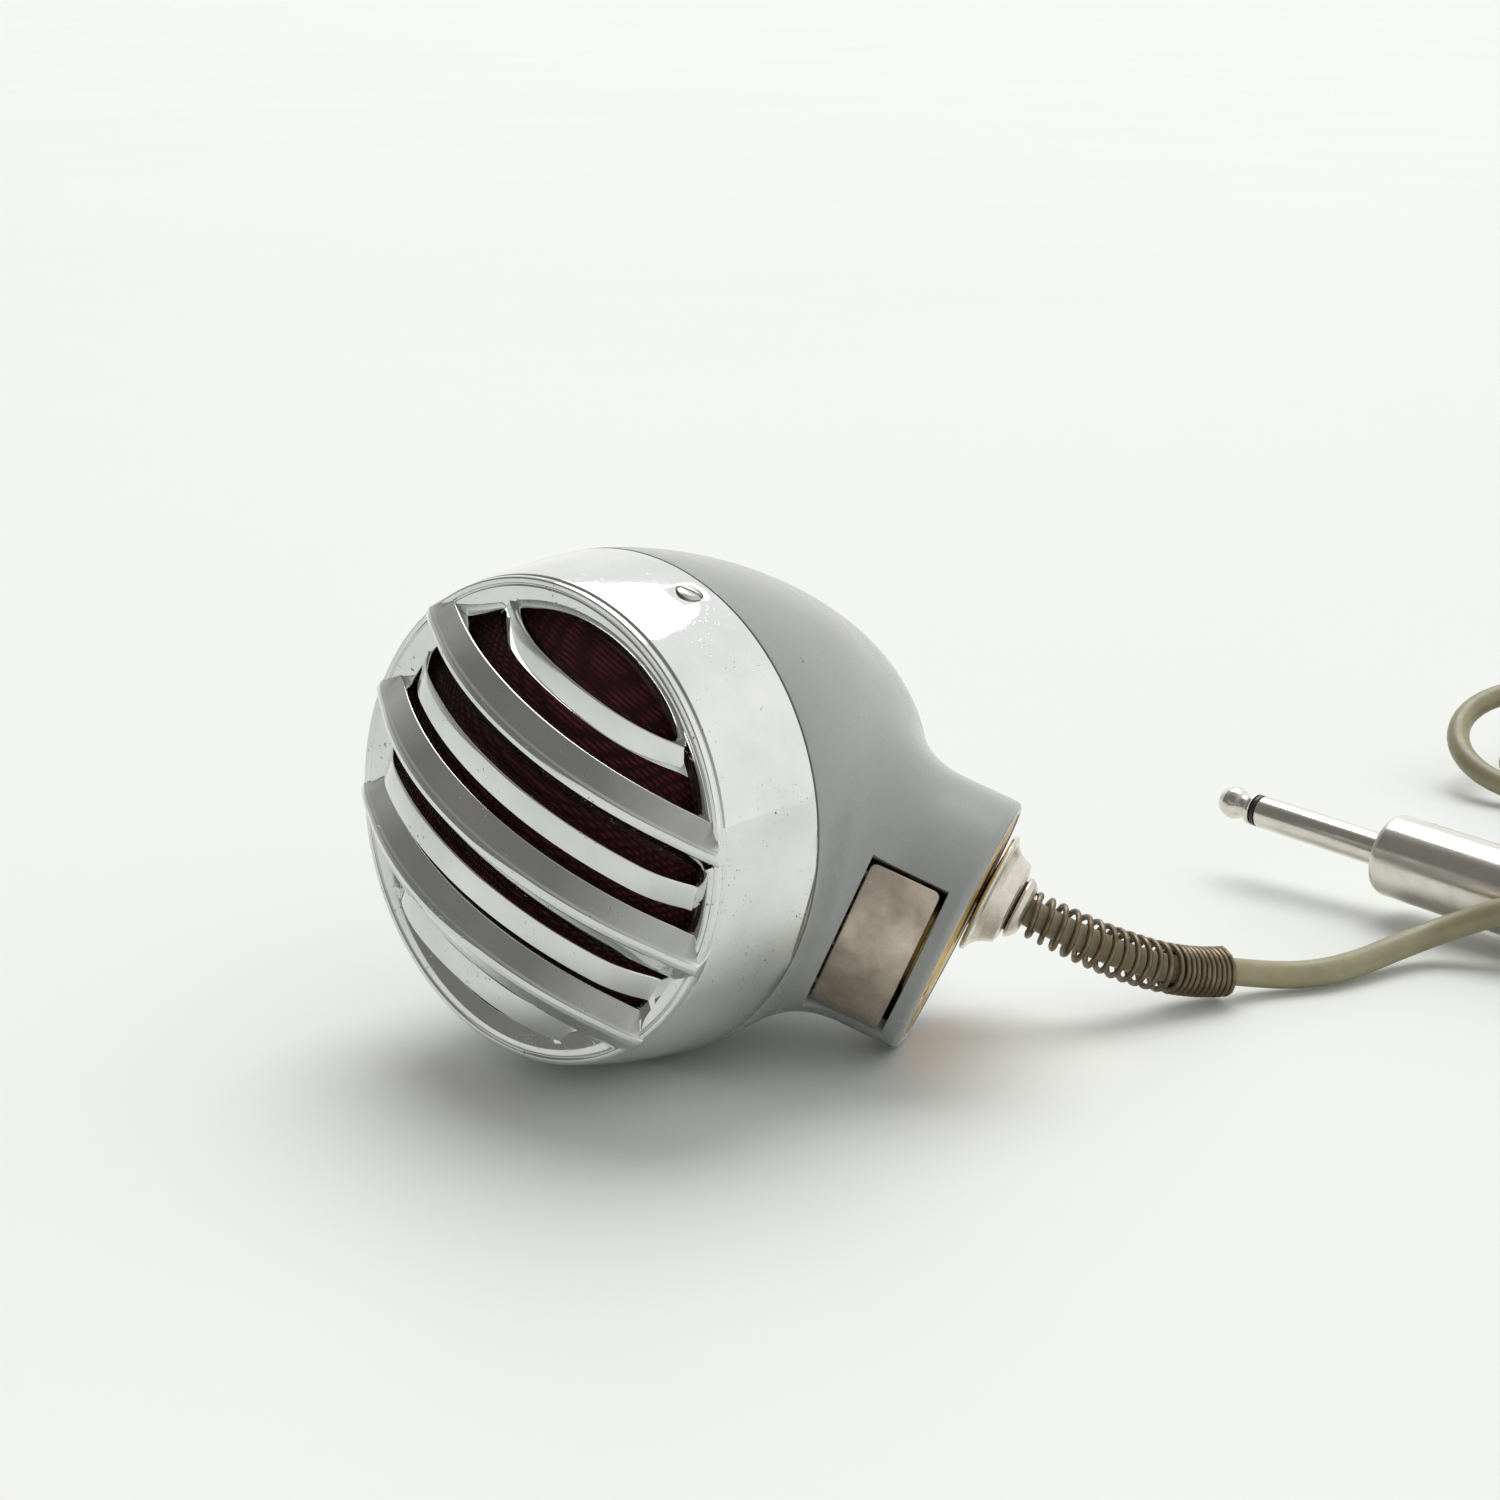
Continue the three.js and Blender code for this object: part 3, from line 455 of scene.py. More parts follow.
# ---- finishes ---------------------------------------------------------------------------------
class Finish:
    """A Principled material whose colour, roughness and relief come from noise in the piece's own space."""

    def __init__(self, name, metallic=0.0, **sockets):
        self.material = bpy.data.materials.new(name)
        self.material.use_nodes = True
        self.tree = self.material.node_tree
        self.shader = self.tree.nodes["Principled BSDF"]
        self.shader.inputs["Metallic"].default_value = metallic
        for key, value in sockets.items():
            self.shader.inputs[key.replace("_", " ")].default_value = value
        self.space = self.node("ShaderNodeTexCoord").outputs["Object"]

    def node(self, kind, **fields):
        made = self.tree.nodes.new(kind)
        for key, value in fields.items():
            setattr(made, key, value)
        return made

    def link(self, out, into):
        self.tree.links.new(out, into)

    def stretch(self, scale, turn=(0, 0, 0)):
        mapping = self.node("ShaderNodeMapping")
        self.link(self.space, mapping.inputs["Vector"])
        mapping.inputs["Scale"].default_value = scale
        mapping.inputs["Rotation"].default_value = turn
        return mapping.outputs["Vector"]

    def noise(self, scale, detail=4.0, rough=0.55, vector=None):
        made = self.node("ShaderNodeTexNoise")
        self.link(vector or self.space, made.inputs["Vector"])
        made.inputs["Scale"].default_value = scale
        made.inputs["Detail"].default_value = detail
        made.inputs["Roughness"].default_value = rough
        return made.outputs["Fac"]

    def ramp(self, value, stops):
        """Colours, or greys, along a value: stops of (place, colour or number)."""
        made = self.node("ShaderNodeValToRGB")
        self.link(value, made.inputs["Fac"])
        band = made.color_ramp
        while len(band.elements) < len(stops):
            band.elements.new(0.5)
        for spot, (place, colour) in zip(band.elements, stops):
            spot.position = place
            colour = (colour,) * 3 if isinstance(colour, (int, float)) else colour
            spot.color = (*colour, 1.0)
        return made.outputs["Color"]

    def mix(self, share, a, b):
        made = self.node("ShaderNodeMix", data_type="RGBA")
        self.link(share, made.inputs[0])
        for value, socket in ((a, made.inputs[6]), (b, made.inputs[7])):
            if isinstance(value, tuple):
                socket.default_value = (*value, 1.0)
            else:
                self.link(value, socket)
        return made.outputs[2]

    def math(self, operation, a, b=None):
        made = self.node("ShaderNodeMath", operation=operation)
        for value, socket in ((a, made.inputs[0]), (b, made.inputs[1])):
            if value is None:
                continue
            if isinstance(value, (int, float)):
                socket.default_value = value
            else:
                self.link(value, socket)
        return made.outputs[0]

    def colour(self, value):
        self.link(value, self.shader.inputs["Base Color"])
        return self

    def rough(self, value):
        self.link(value, self.shader.inputs["Roughness"])
        return self

    def bump(self, value, distance, strength=1.0, after=None):
        made = self.node("ShaderNodeBump")
        self.link(value, made.inputs["Height"])
        made.inputs["Distance"].default_value = distance
        made.inputs["Strength"].default_value = strength
        if after is not None:
            self.link(after, made.inputs["Normal"])
        self.link(made.outputs["Normal"], self.shader.inputs["Normal"])
        return made.outputs["Normal"]


def chrome_finish():
    """Old chrome plate: bright, with fine pits and a haze that dulls it in patches."""
    f = Finish("chrome", 1.0)
    haze = f.noise(60, 5, 0.6)
    fine = f.noise(900, 3)
    pits = f.ramp(f.noise(1500, 2, 0.5), [(0.66, 0.0), (0.74, 1.0)])
    pits = f.math("MULTIPLY", pits, f.ramp(f.noise(110, 3), [(0.50, 0.0), (0.66, 1.0)]))
    plate = f.ramp(haze, [(0.30, (0.80, 0.81, 0.80)), (0.72, (0.66, 0.68, 0.66))])
    f.colour(f.mix(pits, plate, (0.22, 0.20, 0.17)))
    dull = f.math("MULTIPLY", f.ramp(haze, [(0.42, 0.02), (0.75, 0.16)]), f.math("ADD", fine, 0.5))
    f.rough(f.math("ADD", dull, f.math("MULTIPLY", pits, 0.4)))
    f.bump(f.math("ADD", f.math("MULTIPLY", pits, -1.0), f.math("MULTIPLY", fine, 0.06)), 0.00004)
    return f.material


def enamel_finish():
    """Grey stoving enamel over a casting: a slow ripple, faint rubs and a few small chips."""
    f = Finish("shell_enamel", 0.0, Coat_Weight=0.35, Coat_Roughness=0.07, Specular_IOR_Level=0.55)
    tone = f.ramp(f.noise(45, 4), [(0.3, (0.262, 0.275, 0.262)), (0.7, (0.300, 0.312, 0.298))])
    chips = f.ramp(f.noise(420, 3, 0.6), [(0.735, 0.0), (0.76, 1.0)])
    rubs = f.ramp(f.noise(26, 6, 0.7, f.stretch((1, 3, 1), (0.4, 0.2, 0.7))), [(0.58, 0.0), (0.72, 1.0)])
    tone = f.mix(f.math("MULTIPLY", rubs, 0.3), tone, (0.20, 0.21, 0.20))
    f.colour(f.mix(chips, tone, (0.11, 0.10, 0.09)))
    gloss = f.ramp(f.noise(120, 4), [(0.3, 0.20), (0.75, 0.34)])
    f.rough(f.math("ADD", gloss, f.math("MULTIPLY", rubs, 0.18)))
    f.bump(f.math("ADD", f.noise(75, 2), f.math("MULTIPLY", chips, -0.5)), 0.00006)
    return f.material


def metal_finish(name, bright, dark, low, high, relief=0.00001, grain=(1, 1, 1), scale=240):
    """Plated or turned metal: tone and gloss vary in patches, with fine scratches along a grain."""
    f = Finish(name, 1.0)
    patch = f.noise(scale, 5, 0.6)
    scratch = f.noise(2600, 3, 0.6, f.stretch(grain, (0.3, 0.1, 0.5)))
    marks = f.ramp(scratch, [(0.55, 0.0), (0.8, 0.5)])
    f.colour(f.mix(marks, f.ramp(patch, [(0.3, bright), (0.75, dark)]), dark))
    f.rough(f.math("ADD", f.ramp(patch, [(0.3, low), (0.75, high)]), f.math("MULTIPLY", scratch, 0.1)))
    f.bump(scratch, relief)
    return f.material


def cloth_finish():
    """Maroon grille cloth: a coarse, slightly uneven weave, its crests painted lighter as highlight and the
    gaps between threads painted darker as shade.
    """
    f = Finish("grille_cloth", 0.0, Sheen_Weight=0.12, Sheen_Roughness=0.5)
    threads = []
    for turn in (0.9, 0.9 + math.pi / 2):
        wave = f.node("ShaderNodeTexWave", wave_type="BANDS", bands_direction="X")
        f.link(f.stretch((1, 1, 1), (0.06, 1.13, turn)), wave.inputs["Vector"])
        wave.inputs["Scale"].default_value = 400
        wave.inputs["Distortion"].default_value = 1.6
        wave.inputs["Detail"].default_value = 1.0
        wave.inputs["Detail Scale"].default_value = 1.5
        threads.append(wave.outputs["Fac"])
    weave = f.math("MULTIPLY", *threads)
    # Painted light: the weave's crests get a painted highlight and its troughs painted shade in the base
    # colour.
    tone = f.ramp(
        weave,
        [
            (0.0, (0.032, 0.002, 0.006)),
            (0.5, (0.115, 0.008, 0.022)),
            (1.0, (0.21, 0.020, 0.045)),
        ],
    )
    f.colour(f.mix(f.ramp(f.noise(420, 4), [(0.4, 0.0), (0.75, 0.6)]), tone, (0.028, 0.003, 0.007)))
    f.rough(f.ramp(weave, [(0.0, 0.95), (1.0, 0.75)]))
    f.bump(weave, 0.00022)
    return f.material


def cable_finish():
    """Olive vinyl jacket, a little dirty and faintly lengthwise-marked."""
    f = Finish("cable", 0.0, Coat_Weight=0.15, Coat_Roughness=0.25, Subsurface_Weight=0.08)
    f.shader.inputs["Subsurface Radius"].default_value = (0.002, 0.0018, 0.001)
    patch = f.noise(120, 4)
    tone = f.ramp(patch, [(0.3, (0.335, 0.300, 0.170)), (0.7, (0.250, 0.228, 0.130))])
    grime = f.ramp(f.noise(700, 4, 0.65), [(0.62, 0.0), (0.78, 0.6)])
    f.colour(f.mix(grime, tone, (0.15, 0.135, 0.085)))
    f.rough(f.ramp(f.noise(300, 3), [(0.3, 0.34), (0.75, 0.52)]))
    f.bump(f.noise(800, 3), 0.00004)
    return f.material


def plain_finish(name, light, dark, low, high, scale=600, relief=0.00004):
    """Moulded or pressed non-metal: mottled tone, uneven gloss and a fine grain."""
    f = Finish(name, 0.0)
    f.colour(f.ramp(f.noise(scale, 4), [(0.3, light), (0.7, dark)]))
    f.rough(f.ramp(f.noise(scale * 0.6, 3), [(0.3, low), (0.75, high)]))
    f.bump(f.noise(scale * 3, 3), relief)
    return f.material


def tape_finish():
    """Clear tape with fine wrinkles, gone a little yellow."""
    f = Finish("clear_tape", 0.0, Alpha=0.55, Coat_Weight=0.4)
    f.colour(f.ramp(f.noise(200, 3), [(0.3, (0.72, 0.70, 0.52)), (0.7, (0.60, 0.58, 0.40))]))
    f.rough(f.ramp(f.noise(500, 3), [(0.3, 0.18), (0.75, 0.40)]))
    f.bump(f.noise(420, 3, vector=f.stretch((1, 1, 4))), 0.0001)
    return f.material


LOOKS = {
    "chrome": chrome_finish(),
    "shell_enamel": enamel_finish(),
    "lever": metal_finish(
        "lever_nickel", (0.62, 0.55, 0.45), (0.34, 0.28, 0.21), 0.2, 0.4, 0.00004, (1, 7, 1), 190
    ),
    "nickel": metal_finish("nickel", (0.74, 0.70, 0.63), (0.56, 0.51, 0.43), 0.12, 0.26),
    "spring": metal_finish(
        "spring_wire", (0.25, 0.205, 0.14), (0.11, 0.08, 0.048), 0.28, 0.5, 0.00003, scale=420
    ),
    "plug": metal_finish("plug_nickel", (0.80, 0.77, 0.70), (0.66, 0.63, 0.55), 0.08, 0.18),
    "brass": metal_finish("brass", (0.66, 0.46, 0.17), (0.42, 0.27, 0.10), 0.22, 0.42),
    "steel": metal_finish("steel", (0.60, 0.59, 0.56), (0.38, 0.36, 0.33), 0.22, 0.40),
    "aluminium": metal_finish("aluminium", (0.72, 0.72, 0.72), (0.58, 0.58, 0.59), 0.30, 0.48),
    "grille_cloth": cloth_finish(),
    "cable": cable_finish(),
    "clear_tape": tape_finish(),
    "black_rubber": plain_finish("black_rubber", (0.022, 0.022, 0.023), (0.034, 0.034, 0.034), 0.6, 0.85),
    "black_plastic": plain_finish("black_plastic", (0.015, 0.015, 0.015), (0.028, 0.027, 0.025), 0.32, 0.5),
    "fibre": plain_finish("fibre", (0.16, 0.085, 0.04), (0.09, 0.045, 0.022), 0.6, 0.8, 900, 0.00008),
}


def paint(piece, look):
    piece.data.materials.clear()
    piece.data.materials.append(LOOKS[look])
    return piece


cable = tube("cable", cable_line, CORD_R, 20)
settle(cable, FLOOR, "microphone", ["cord", "cord_hank", "cord_tail"], 60)
paint(cable, "cable")


# ---- chrome front -----------------------------------------------------------------------------
def dome_y(x, z):
    return DOME_R - DOME_H - math.sqrt(DOME_R**2 - x * x - z * z)


def fin(x0, stations=64):
    """A crested rib across the opening: its crest lies on the dome and its two flanks fall away from it."""
    reach = math.sqrt((RIM_R + 0.4) ** 2 - x0 * x0)
    half = [(0.0, 0.0), (0.8, 0.14), (1.15, 0.62), (4.3, 3.1), (3.45, 5.4)]
    section = rounded(half + [(-s, d) for s, d in reversed(half[1:])], 0.42, 4)
    rings = []
    for i in range(stations + 1):
        z = reach * (2 * i / stations - 1)
        y = dome_y(x0, z) - 0.5 * eased(math.hypot(x0, z), OPEN_R - 1, RIM_R)
        rings.append([(x0 + s, y + d, z) for s, d in section])
    return loft("fin", rings)


def bar(x0, stations=64):
    """A low flat bar between the ribs, whose ends sink behind the opening's edge."""
    reach = math.sqrt((OPEN_R + 1.6) ** 2 - x0 * x0)
    section = rounded([(-2.25, 0.0), (2.25, 0.0), (1.85, 2.5), (-1.85, 2.5)], 0.3, 3)
    rings = []
    for i in range(stations + 1):
        z = reach * (2 * i / stations - 1)
        edge = min(max((math.hypot(x0, z) - 27) / (OPEN_R - 27), 0), 1)
        y = dome_y(x0, z) + 2.6 + 2.2 * edge * edge
        rings.append([(x0 + s, y + d, z) for s, d in section])
    return loft("bar", rings)


band_profile = rounded(
    [
        (OPEN_R, 1.1),
        (35.6, 0.4),
        (37.15, 0.1),
        (37.4, 0.35),
        (37.65, 0.0),
        (38.5, 0.0),
        (38.7, 0.8),
        (38.3, 1.25),
        (38.85, 1.6),
        (39.6, 5.0),
        (40.5, 11.5),
        (41.1, 17.5),
        (BAND_R, BAND_D),
        (38.5, BAND_D),
        (38.4, 8.6),
        (37.2, 5.2),
        (36.8, 4.3),
        (34.1, 4.3),
    ],
    0.3,
)
front = turned("chrome_front", band_profile, "Y", 192)
envelope_profile = [(0, -20), (38.75, -20), (38.75, 1.2), (38.3, 5.0), (0, 5.0)]
envelope = turned("envelope", envelope_profile, "Y", 192)
fins = fin(-2 * RIB_PITCH)
for k in (0, 2):
    combine(fins, fin(k * RIB_PITCH), "UNION")
combine(fins, envelope, "INTERSECT")
combine(front, fins, "UNION")
for k in (-3, -1, 1, 3):
    combine(front, bar(k * RIB_PITCH), "UNION")
for side in (1, -1):
    inner, outer = side * 36.0, side * 48.0
    hole = turned("hole", [(0, inner), (2.25, inner), (2.25, outer), (0, outer)], "X", 40)
    combine(front, shifted(hole, y=BAND_SCREW_Y), "DIFFERENCE")
edged(front, 0.16, 38)
paint(settle(front, LIE, "microphone", ["front_grille"]), "chrome")


def band_screw(side):
    out = BAND_R - 0.15
    profile = rounded(
        [
            (0, out - 6.3),
            (1.0, out - 6.3),
            (1.0, out - 0.9),
            (2.1, out - 0.7),
            (2.1, out - 0.1),
            (1.5, out + 0.25),
            (0, out + 0.35),
        ],
        0.15,
        closed=False,
    )
    screw = turned("screw", profile, "Z", 40)
    combine(screw, block("slot", (-3, -0.26, out - 0.35), (3, 0.26, out + 2)), "DIFFERENCE")
    edged(screw, 0.05)
    screw.data.transform(Matrix.Rotation(side * math.pi / 2, 4, "Y") @ Matrix.Rotation(0.5, 4, "Z"))
    return shifted(screw, y=BAND_SCREW_Y)


for side, name in ((1, "left"), (-1, "right")):
    piece = band_screw(side)
    piece.name = "slotted_screw_" + name
    paint(settle(piece, LIE, "microphone", ["band_screw_" + name]), "steel")

# ---- grille cloth -----------------------------------------------------------------------------
CLOTH_EDGE, CLOTH_FLANGE, CLOTH_Y, CLOTH_H = 33.0, 36.4, 4.65, 12.2


def cloth_profile(steps=26, thick=0.5):
    radius = (CLOTH_EDGE**2 + CLOTH_H**2) / (2 * CLOTH_H)
    upper = []
    for i in range(steps + 1):
        r = CLOTH_EDGE * i / steps
        upper.append((r, CLOTH_Y - CLOTH_H + radius - math.sqrt(radius**2 - r * r)))
    upper.append((CLOTH_FLANGE, CLOTH_Y))
    return upper + [(r, y + thick) for r, y in reversed(upper)]


cloth = turned("grille_weave", cloth_profile(), "Y", 128)
settle(cloth, LIE, "microphone", ["grille_cloth"], 60)
paint(cloth, "grille_cloth")

# ---- enamelled shell --------------------------------------------------------------------------
AXIS = np.array([0, math.sin(TILT), -math.cos(TILT)])
ROOT = np.array([0, 32.9, 0])
END_OUT = np.array([0, math.sin(TILT - END_LEAN), -math.cos(TILT - END_LEAN)])
END_SPOT = np.array(END_TURN @ Vector((0, 0, -STEM_END)))


def shell_distance(p):
    """Distance of points from the ovoid body and the stem, blended by a fillet."""
    r = np.hypot(p[..., 0], p[..., 2])
    u = np.maximum((p[..., 1] - BAND_D) / SHELL_L, 0)
    value = (r / BAND_R) ** 2 + u**SHELL_P - 1
    slope = np.hypot(2 * r / BAND_R**2, SHELL_P * u ** (SHELL_P - 1) / SHELL_L)
    ovoid = value / np.maximum(slope, 0.02)
    away = p - ROOT
    along = away @ AXIS
    radial = np.sqrt(np.maximum((away**2).sum(-1) - along**2, 0))
    x = radial - (STEM_R - STEM_EDGE)
    y = np.maximum((p - END_SPOT) @ END_OUT, -along) + STEM_EDGE
    stem = np.hypot(np.maximum(x, 0), np.maximum(y, 0)) + np.minimum(np.maximum(x, y), 0) - STEM_EDGE
    h = np.maximum(BLEND - np.abs(ovoid - stem), 0) / BLEND
    return np.minimum(ovoid, stem) - h * h * BLEND / 4


def cast_skin(name, depth, polar, around):
    """The surface at a depth under the skin, met by rays from a point on the stem's axis."""
    eye = ROOT + AXIS * 12
    side = np.array([1.0, 0, 0])
    up = np.cross(AXIS, side)
    tilt = np.radians(polar)[:, None, None]
    turn = (2 * np.pi * np.arange(around) / around)[None, :, None]
    ray = AXIS * np.cos(tilt) + np.sin(tilt) * (side * np.cos(turn) + up * np.sin(turn))
    near, far = np.full(ray.shape[:2], 2.0), np.full(ray.shape[:2], 90.0)
    for _ in range(44):
        half = (near + far) / 2
        inside = shell_distance(eye + ray * half[..., None]) < -depth
        near, far = np.where(inside, half, near), np.where(inside, far, half)
    skin = eye + ray * near[..., None]
    return loft(name, [list(map(tuple, ring)) for ring in skin])


outer_polar = np.concatenate([[0.6, 6, 12, 18, 23], np.arange(25, 33.6, 0.3), np.arange(34.5, 179.6, 1.5)])
inner_polar = np.concatenate([[0.6, 15, 27, 29, 30], np.arange(32, 179, 4), [179.4]])
shell = cast_skin("enamel_shell", 0, outer_polar, 160)
combine(shell, cast_skin("hollow", WALL, inner_polar, 64), "DIFFERENCE")
combine(shell, block("front_cut", (-120, -120, -120), (120, BAND_D + 0.3, 120)), "DIFFERENCE")
spigot = [
    (35.7, 12.4),
    (38.0, 12.4),
    (38.0, 20.2),
    (38.6, 20.6),
    (40.2, 21.2),
    (39.9, 24.4),
    (38.4, 26.5),
    (35.7, 22.4),
]
combine(shell, turned("spigot", spigot, "Y", 144), "UNION")


def turned_by(piece, matrix):
    piece.data.transform(matrix)
    return piece


def sector(name, inner, outer, half, low, high, steps=40):
    """A piece of a ring round the stem's axis, at its front."""
    rings = []
    for i in range(steps + 1):
        turn = half * (2 * i / steps - 1)
        s, c = math.sin(turn), -math.cos(turn)
        section = [(inner, low), (outer, low), (outer, high), (inner, high)]
        rings.append([(r * s, r * c, z) for r, z in section])
    return loft(name, rings)


def bore(radius, low, high, x=0.0, y=0.0, segments=96):
    return shifted(turned("bore", [(0, low), (radius, low), (radius, high), (0, high)], "Z", segments), x, y)


combine(shell, turned_by(bore(STEM_BORE, -54, -40), END_TURN), "DIFFERENCE")
for side in (1, -1):
    combine(shell, turned_by(bore(3.0, -47.7, -39, side * 17.4, segments=32), END_TURN), "UNION")
combine(shell, turned_by(bore(20.8, -54, -47.9), END_TURN), "DIFFERENCE")
combine(shell, turned_by(sector("opening", 16.9, 25.5, 0.684, -47.33, -34.15), STEM_TURN), "DIFFERENCE")
edged(shell, 0.32, 42, 3)
paint(settle(shell, LIE, "microphone", ["shell"], 40), "shell_enamel")


# ---- press lever ------------------------------------------------------------------------------
def lever_plate(steps=48):
    """The curved plate, its corners rounded in outline."""
    inner, outer, half, low, high, corner = 21.3, 22.5, 0.648, -46.38, -34.55, 1.0
    rings = []
    for i in range(steps + 1):
        turn = half * math.sin(math.pi / 2 * (2 * i / steps - 1))
        from_end = (half - abs(turn)) * outer
        inset = corner - math.sqrt(corner**2 - (corner - min(from_end, corner)) ** 2)
        a, b = low + inset, high - inset
        s, c = math.sin(turn), -math.cos(turn)
        section = rounded([(inner, a), (outer, a), (outer, b), (inner, b)], 0.3, 3)
        rings.append([(r * s, r * c, z) for r, z in section])
    return loft("lever_plate", rings)


lever = lever_plate()
for x in (-8.55, 8.55):
    combine(lever, block("ear", (x - 0.65, -20.4, -37.2), (x + 0.65, -14.2, -34.9)), "UNION")
pin_hole = turned("pin_hole", [(0, -14), (1.1, -14), (1.1, 14), (0, 14)], "X", 24)
combine(lever, shifted(pin_hole, y=LEVER_PIN[0], z=LEVER_PIN[1]), "DIFFERENCE")
paint(settle(lever, STEM, "lever", ["press_lever"]), "lever")

# ---- base plate, bushing and connector ----------------------------------------------------------
plate_profile = [(0, -50.2), (20.5, -50.2), (20.5, -48.2), (0, -48.2)]
plate = turned("brass_plate", rounded(plate_profile, 0.25, closed=False), "Z", 128)
combine(plate, bore(9.9, -52, -46, 0, BUSH_Y), "DIFFERENCE")
combine(plate, bore(3.1, -52, -46, 0, CON_Y, 48), "DIFFERENCE")
for side in (1, -1):
    sunk = [(0, -52), (2.6, -52), (2.6, -49.2), (1.5, -49.2), (1.5, -46), (0, -46)]
    combine(plate, shifted(turned("sunk", sunk, "Z", 40), side * PLATE_SCREW_X), "DIFFERENCE")
edged(plate, 0.12)
paint(settle(plate, END, "microphone", ["base_plate"]), "brass")

thread = [(7.94 + (0.45 if k % 2 else 0.0), -49.4 + 0.47 * k) for k in range(12)]
bushing_profile = [
    (8.3, -50.0),
    (9.6, -50.0),
    (9.6, -47.9),
    (11.4, -47.9),
    (11.4, -46.7),
    (9.6, -46.5),
    (9.6, -43.9),
    (8.2, -43.9),
]
bushing = shifted(turned("threaded_bushing", bushing_profile + thread[::-1], "Z", 96), y=BUSH_Y)
paint(settle(bushing, END, "microphone", ["stand_bushing"], 24), "brass")

for side, name in ((1, "1"), (-1, "2")):
    profile = [(0, -50.1), (1.6, -50.1), (2.2, -49.8), (2.2, -49.5), (1.2, -49.5), (1.2, -43.2), (0, -43.2)]
    screw = turned("plate_screw_" + name, rounded(profile, 0.12, closed=False), "Z", 40)
    combine(screw, block("slot", (-0.25, -3, -51), (0.25, 3, -49.75)), "DIFFERENCE")
    screw.data.transform(Matrix.Rotation(0.7 * side, 4, "Z"))
    shifted(screw, side * PLATE_SCREW_X)
    paint(settle(screw, END, "microphone", ["base_screw_" + name]), "brass")

receptacle = [(0, -53.0), (6.6, -53.0), (6.6, -50.65), (2.8, -50.65), (2.8, -44.6), (0, -44.6)]
ring = [
    (7.0, -50.95),
    (10.3, -50.95),
    (10.6, -51.3),
    (10.5, -51.8),
    (9.4, -52.2),
    (8.3, -53.2),
    (7.6, -54.5),
    (7.2, -55.6),
    (5.6, -56.1),
    (4.9, -56.1),
    (4.9, -54.9),
    (7.0, -54.0),
]
gland = [
    (0, -53.4),
    (6.2, -53.4),
    (6.2, -53.9),
    (4.5, -54.7),
    (4.5, -56.4),
    (5.4, -56.5),
    (5.5, -57.0),
    (4.9, -57.8),
    (4.1, -58.4),
    (3.4, -58.6),
    (2.8, -58.6),
    (2.8, -57.1),
    (0, -57.1),
]
for name, profile, closed, body, node in (
    ("socket_shell", receptacle, False, "microphone", "connector_receptacle"),
    ("screw_ring", ring, True, "connector_ring", "coupling_ring"),
    ("cable_gland", gland, False, "microphone", "connector_body"),
):
    piece = shifted(turned(name, rounded(profile, 0.35, 4, closed), "Z", 112), y=CON_Y)
    paint(settle(piece, END, body, [node]), "nickel")


# ---- spring sleeve ----------------------------------------------------------------------------
def sleeve_wire(open_turns=12.5, close_turns=10.5, per_turn=26):
    """Wire wound round the cable: open turns from the connector, then turns that touch."""
    total = line_length(sleeve_line)
    close_part = close_turns * WIRE_R * 2.06 / total
    count = round((open_turns + close_turns) * per_turn)
    line = even(sleeve_line, 400)
    tangents = [(line[min(i + 1, 399)] - line[max(i - 1, 0)]).normalized() for i in range(400)]
    normal = tangents[0].orthogonal().normalized()
    normals = []
    for tangent in tangents:
        normal = (normal - tangent * normal.dot(tangent)).normalized()
        normals.append(normal.copy())
    out = []
    for k in range(count + 1):
        turns = (open_turns + close_turns) * k / count
        if turns < open_turns:
            share = (1 - close_part) * turns / open_turns
        else:
            share = 1 - close_part * (1 - (turns - open_turns) / close_turns)
        i = min(round(share * 399), 399)
        radius = 3.55 + 0.33 * min(share * 2.2, 1.0)
        turn = 2 * math.pi * turns
        spot = line[i].lerp(line[min(i + 1, 399)], share * 399 - int(share * 399)) if i < 399 else line[i]
        side = normals[i] * math.cos(turn) + tangents[i].cross(normals[i]) * math.sin(turn)
        out.append(spot + side * radius)
    return out


spring = tube("sleeve_spring", sleeve_wire(), WIRE_R, 10)
paint(settle(spring, FLOOR, "microphone", ["strain_relief_spring"], 60), "spring")

# ---- plug -------------------------------------------------------------------------------------
plug_tip = [
    (0, 0),
    (1.2, 0.15),
    (2.3, 0.9),
    (3.0, 2.2),
    (3.175, 3.4),
    (2.75, 4.6),
    (2.3, 5.4),
    (2.2, 6.2),
    (3.05, 7.2),
    (3.175, 7.7),
    (3.175, 8.3),
    (0, 8.3),
]
plug_sleeve = [(0, 9.7), (3.0, 9.7), (3.175, 9.9), (3.175, PLUG_SHAFT), (0, PLUG_SHAFT)]
plug_ring = [(0, 8.5), (3.075, 8.5), (3.075, 9.5), (0, 9.5)]
plug_barrel = [
    (0, PLUG_SHAFT + 0.3),
    (5.4, PLUG_SHAFT + 0.3),
    (6.6, PLUG_SHAFT + 0.5),
    (7.5, PLUG_SHAFT + 1.1),
    (7.8, PLUG_SHAFT + 2.0),
    (7.8, BARREL_END - 5.1),
    (7.5, BARREL_END - 3.9),
    (6.6, BARREL_END - 1.5),
    (5.2, BARREL_END - 0.3),
    (3.2, BARREL_END),
    (0, BARREL_END),
]
for name, profile, look, slot_name in (
    ("plug_tip", plug_tip, "plug", "nickel"),
    ("plug_insulator", plug_ring, "black_plastic", "black_plastic"),
    ("plug_sleeve", plug_sleeve, "plug", "nickel"),
    ("plug_barrel", plug_barrel, "plug", "nickel"),
):
    piece = turned(name + "_fine", rounded(profile, 0.3, 3, False), "Z", 80)
    paint(settle(piece, PLUG, "microphone", [name]), look)


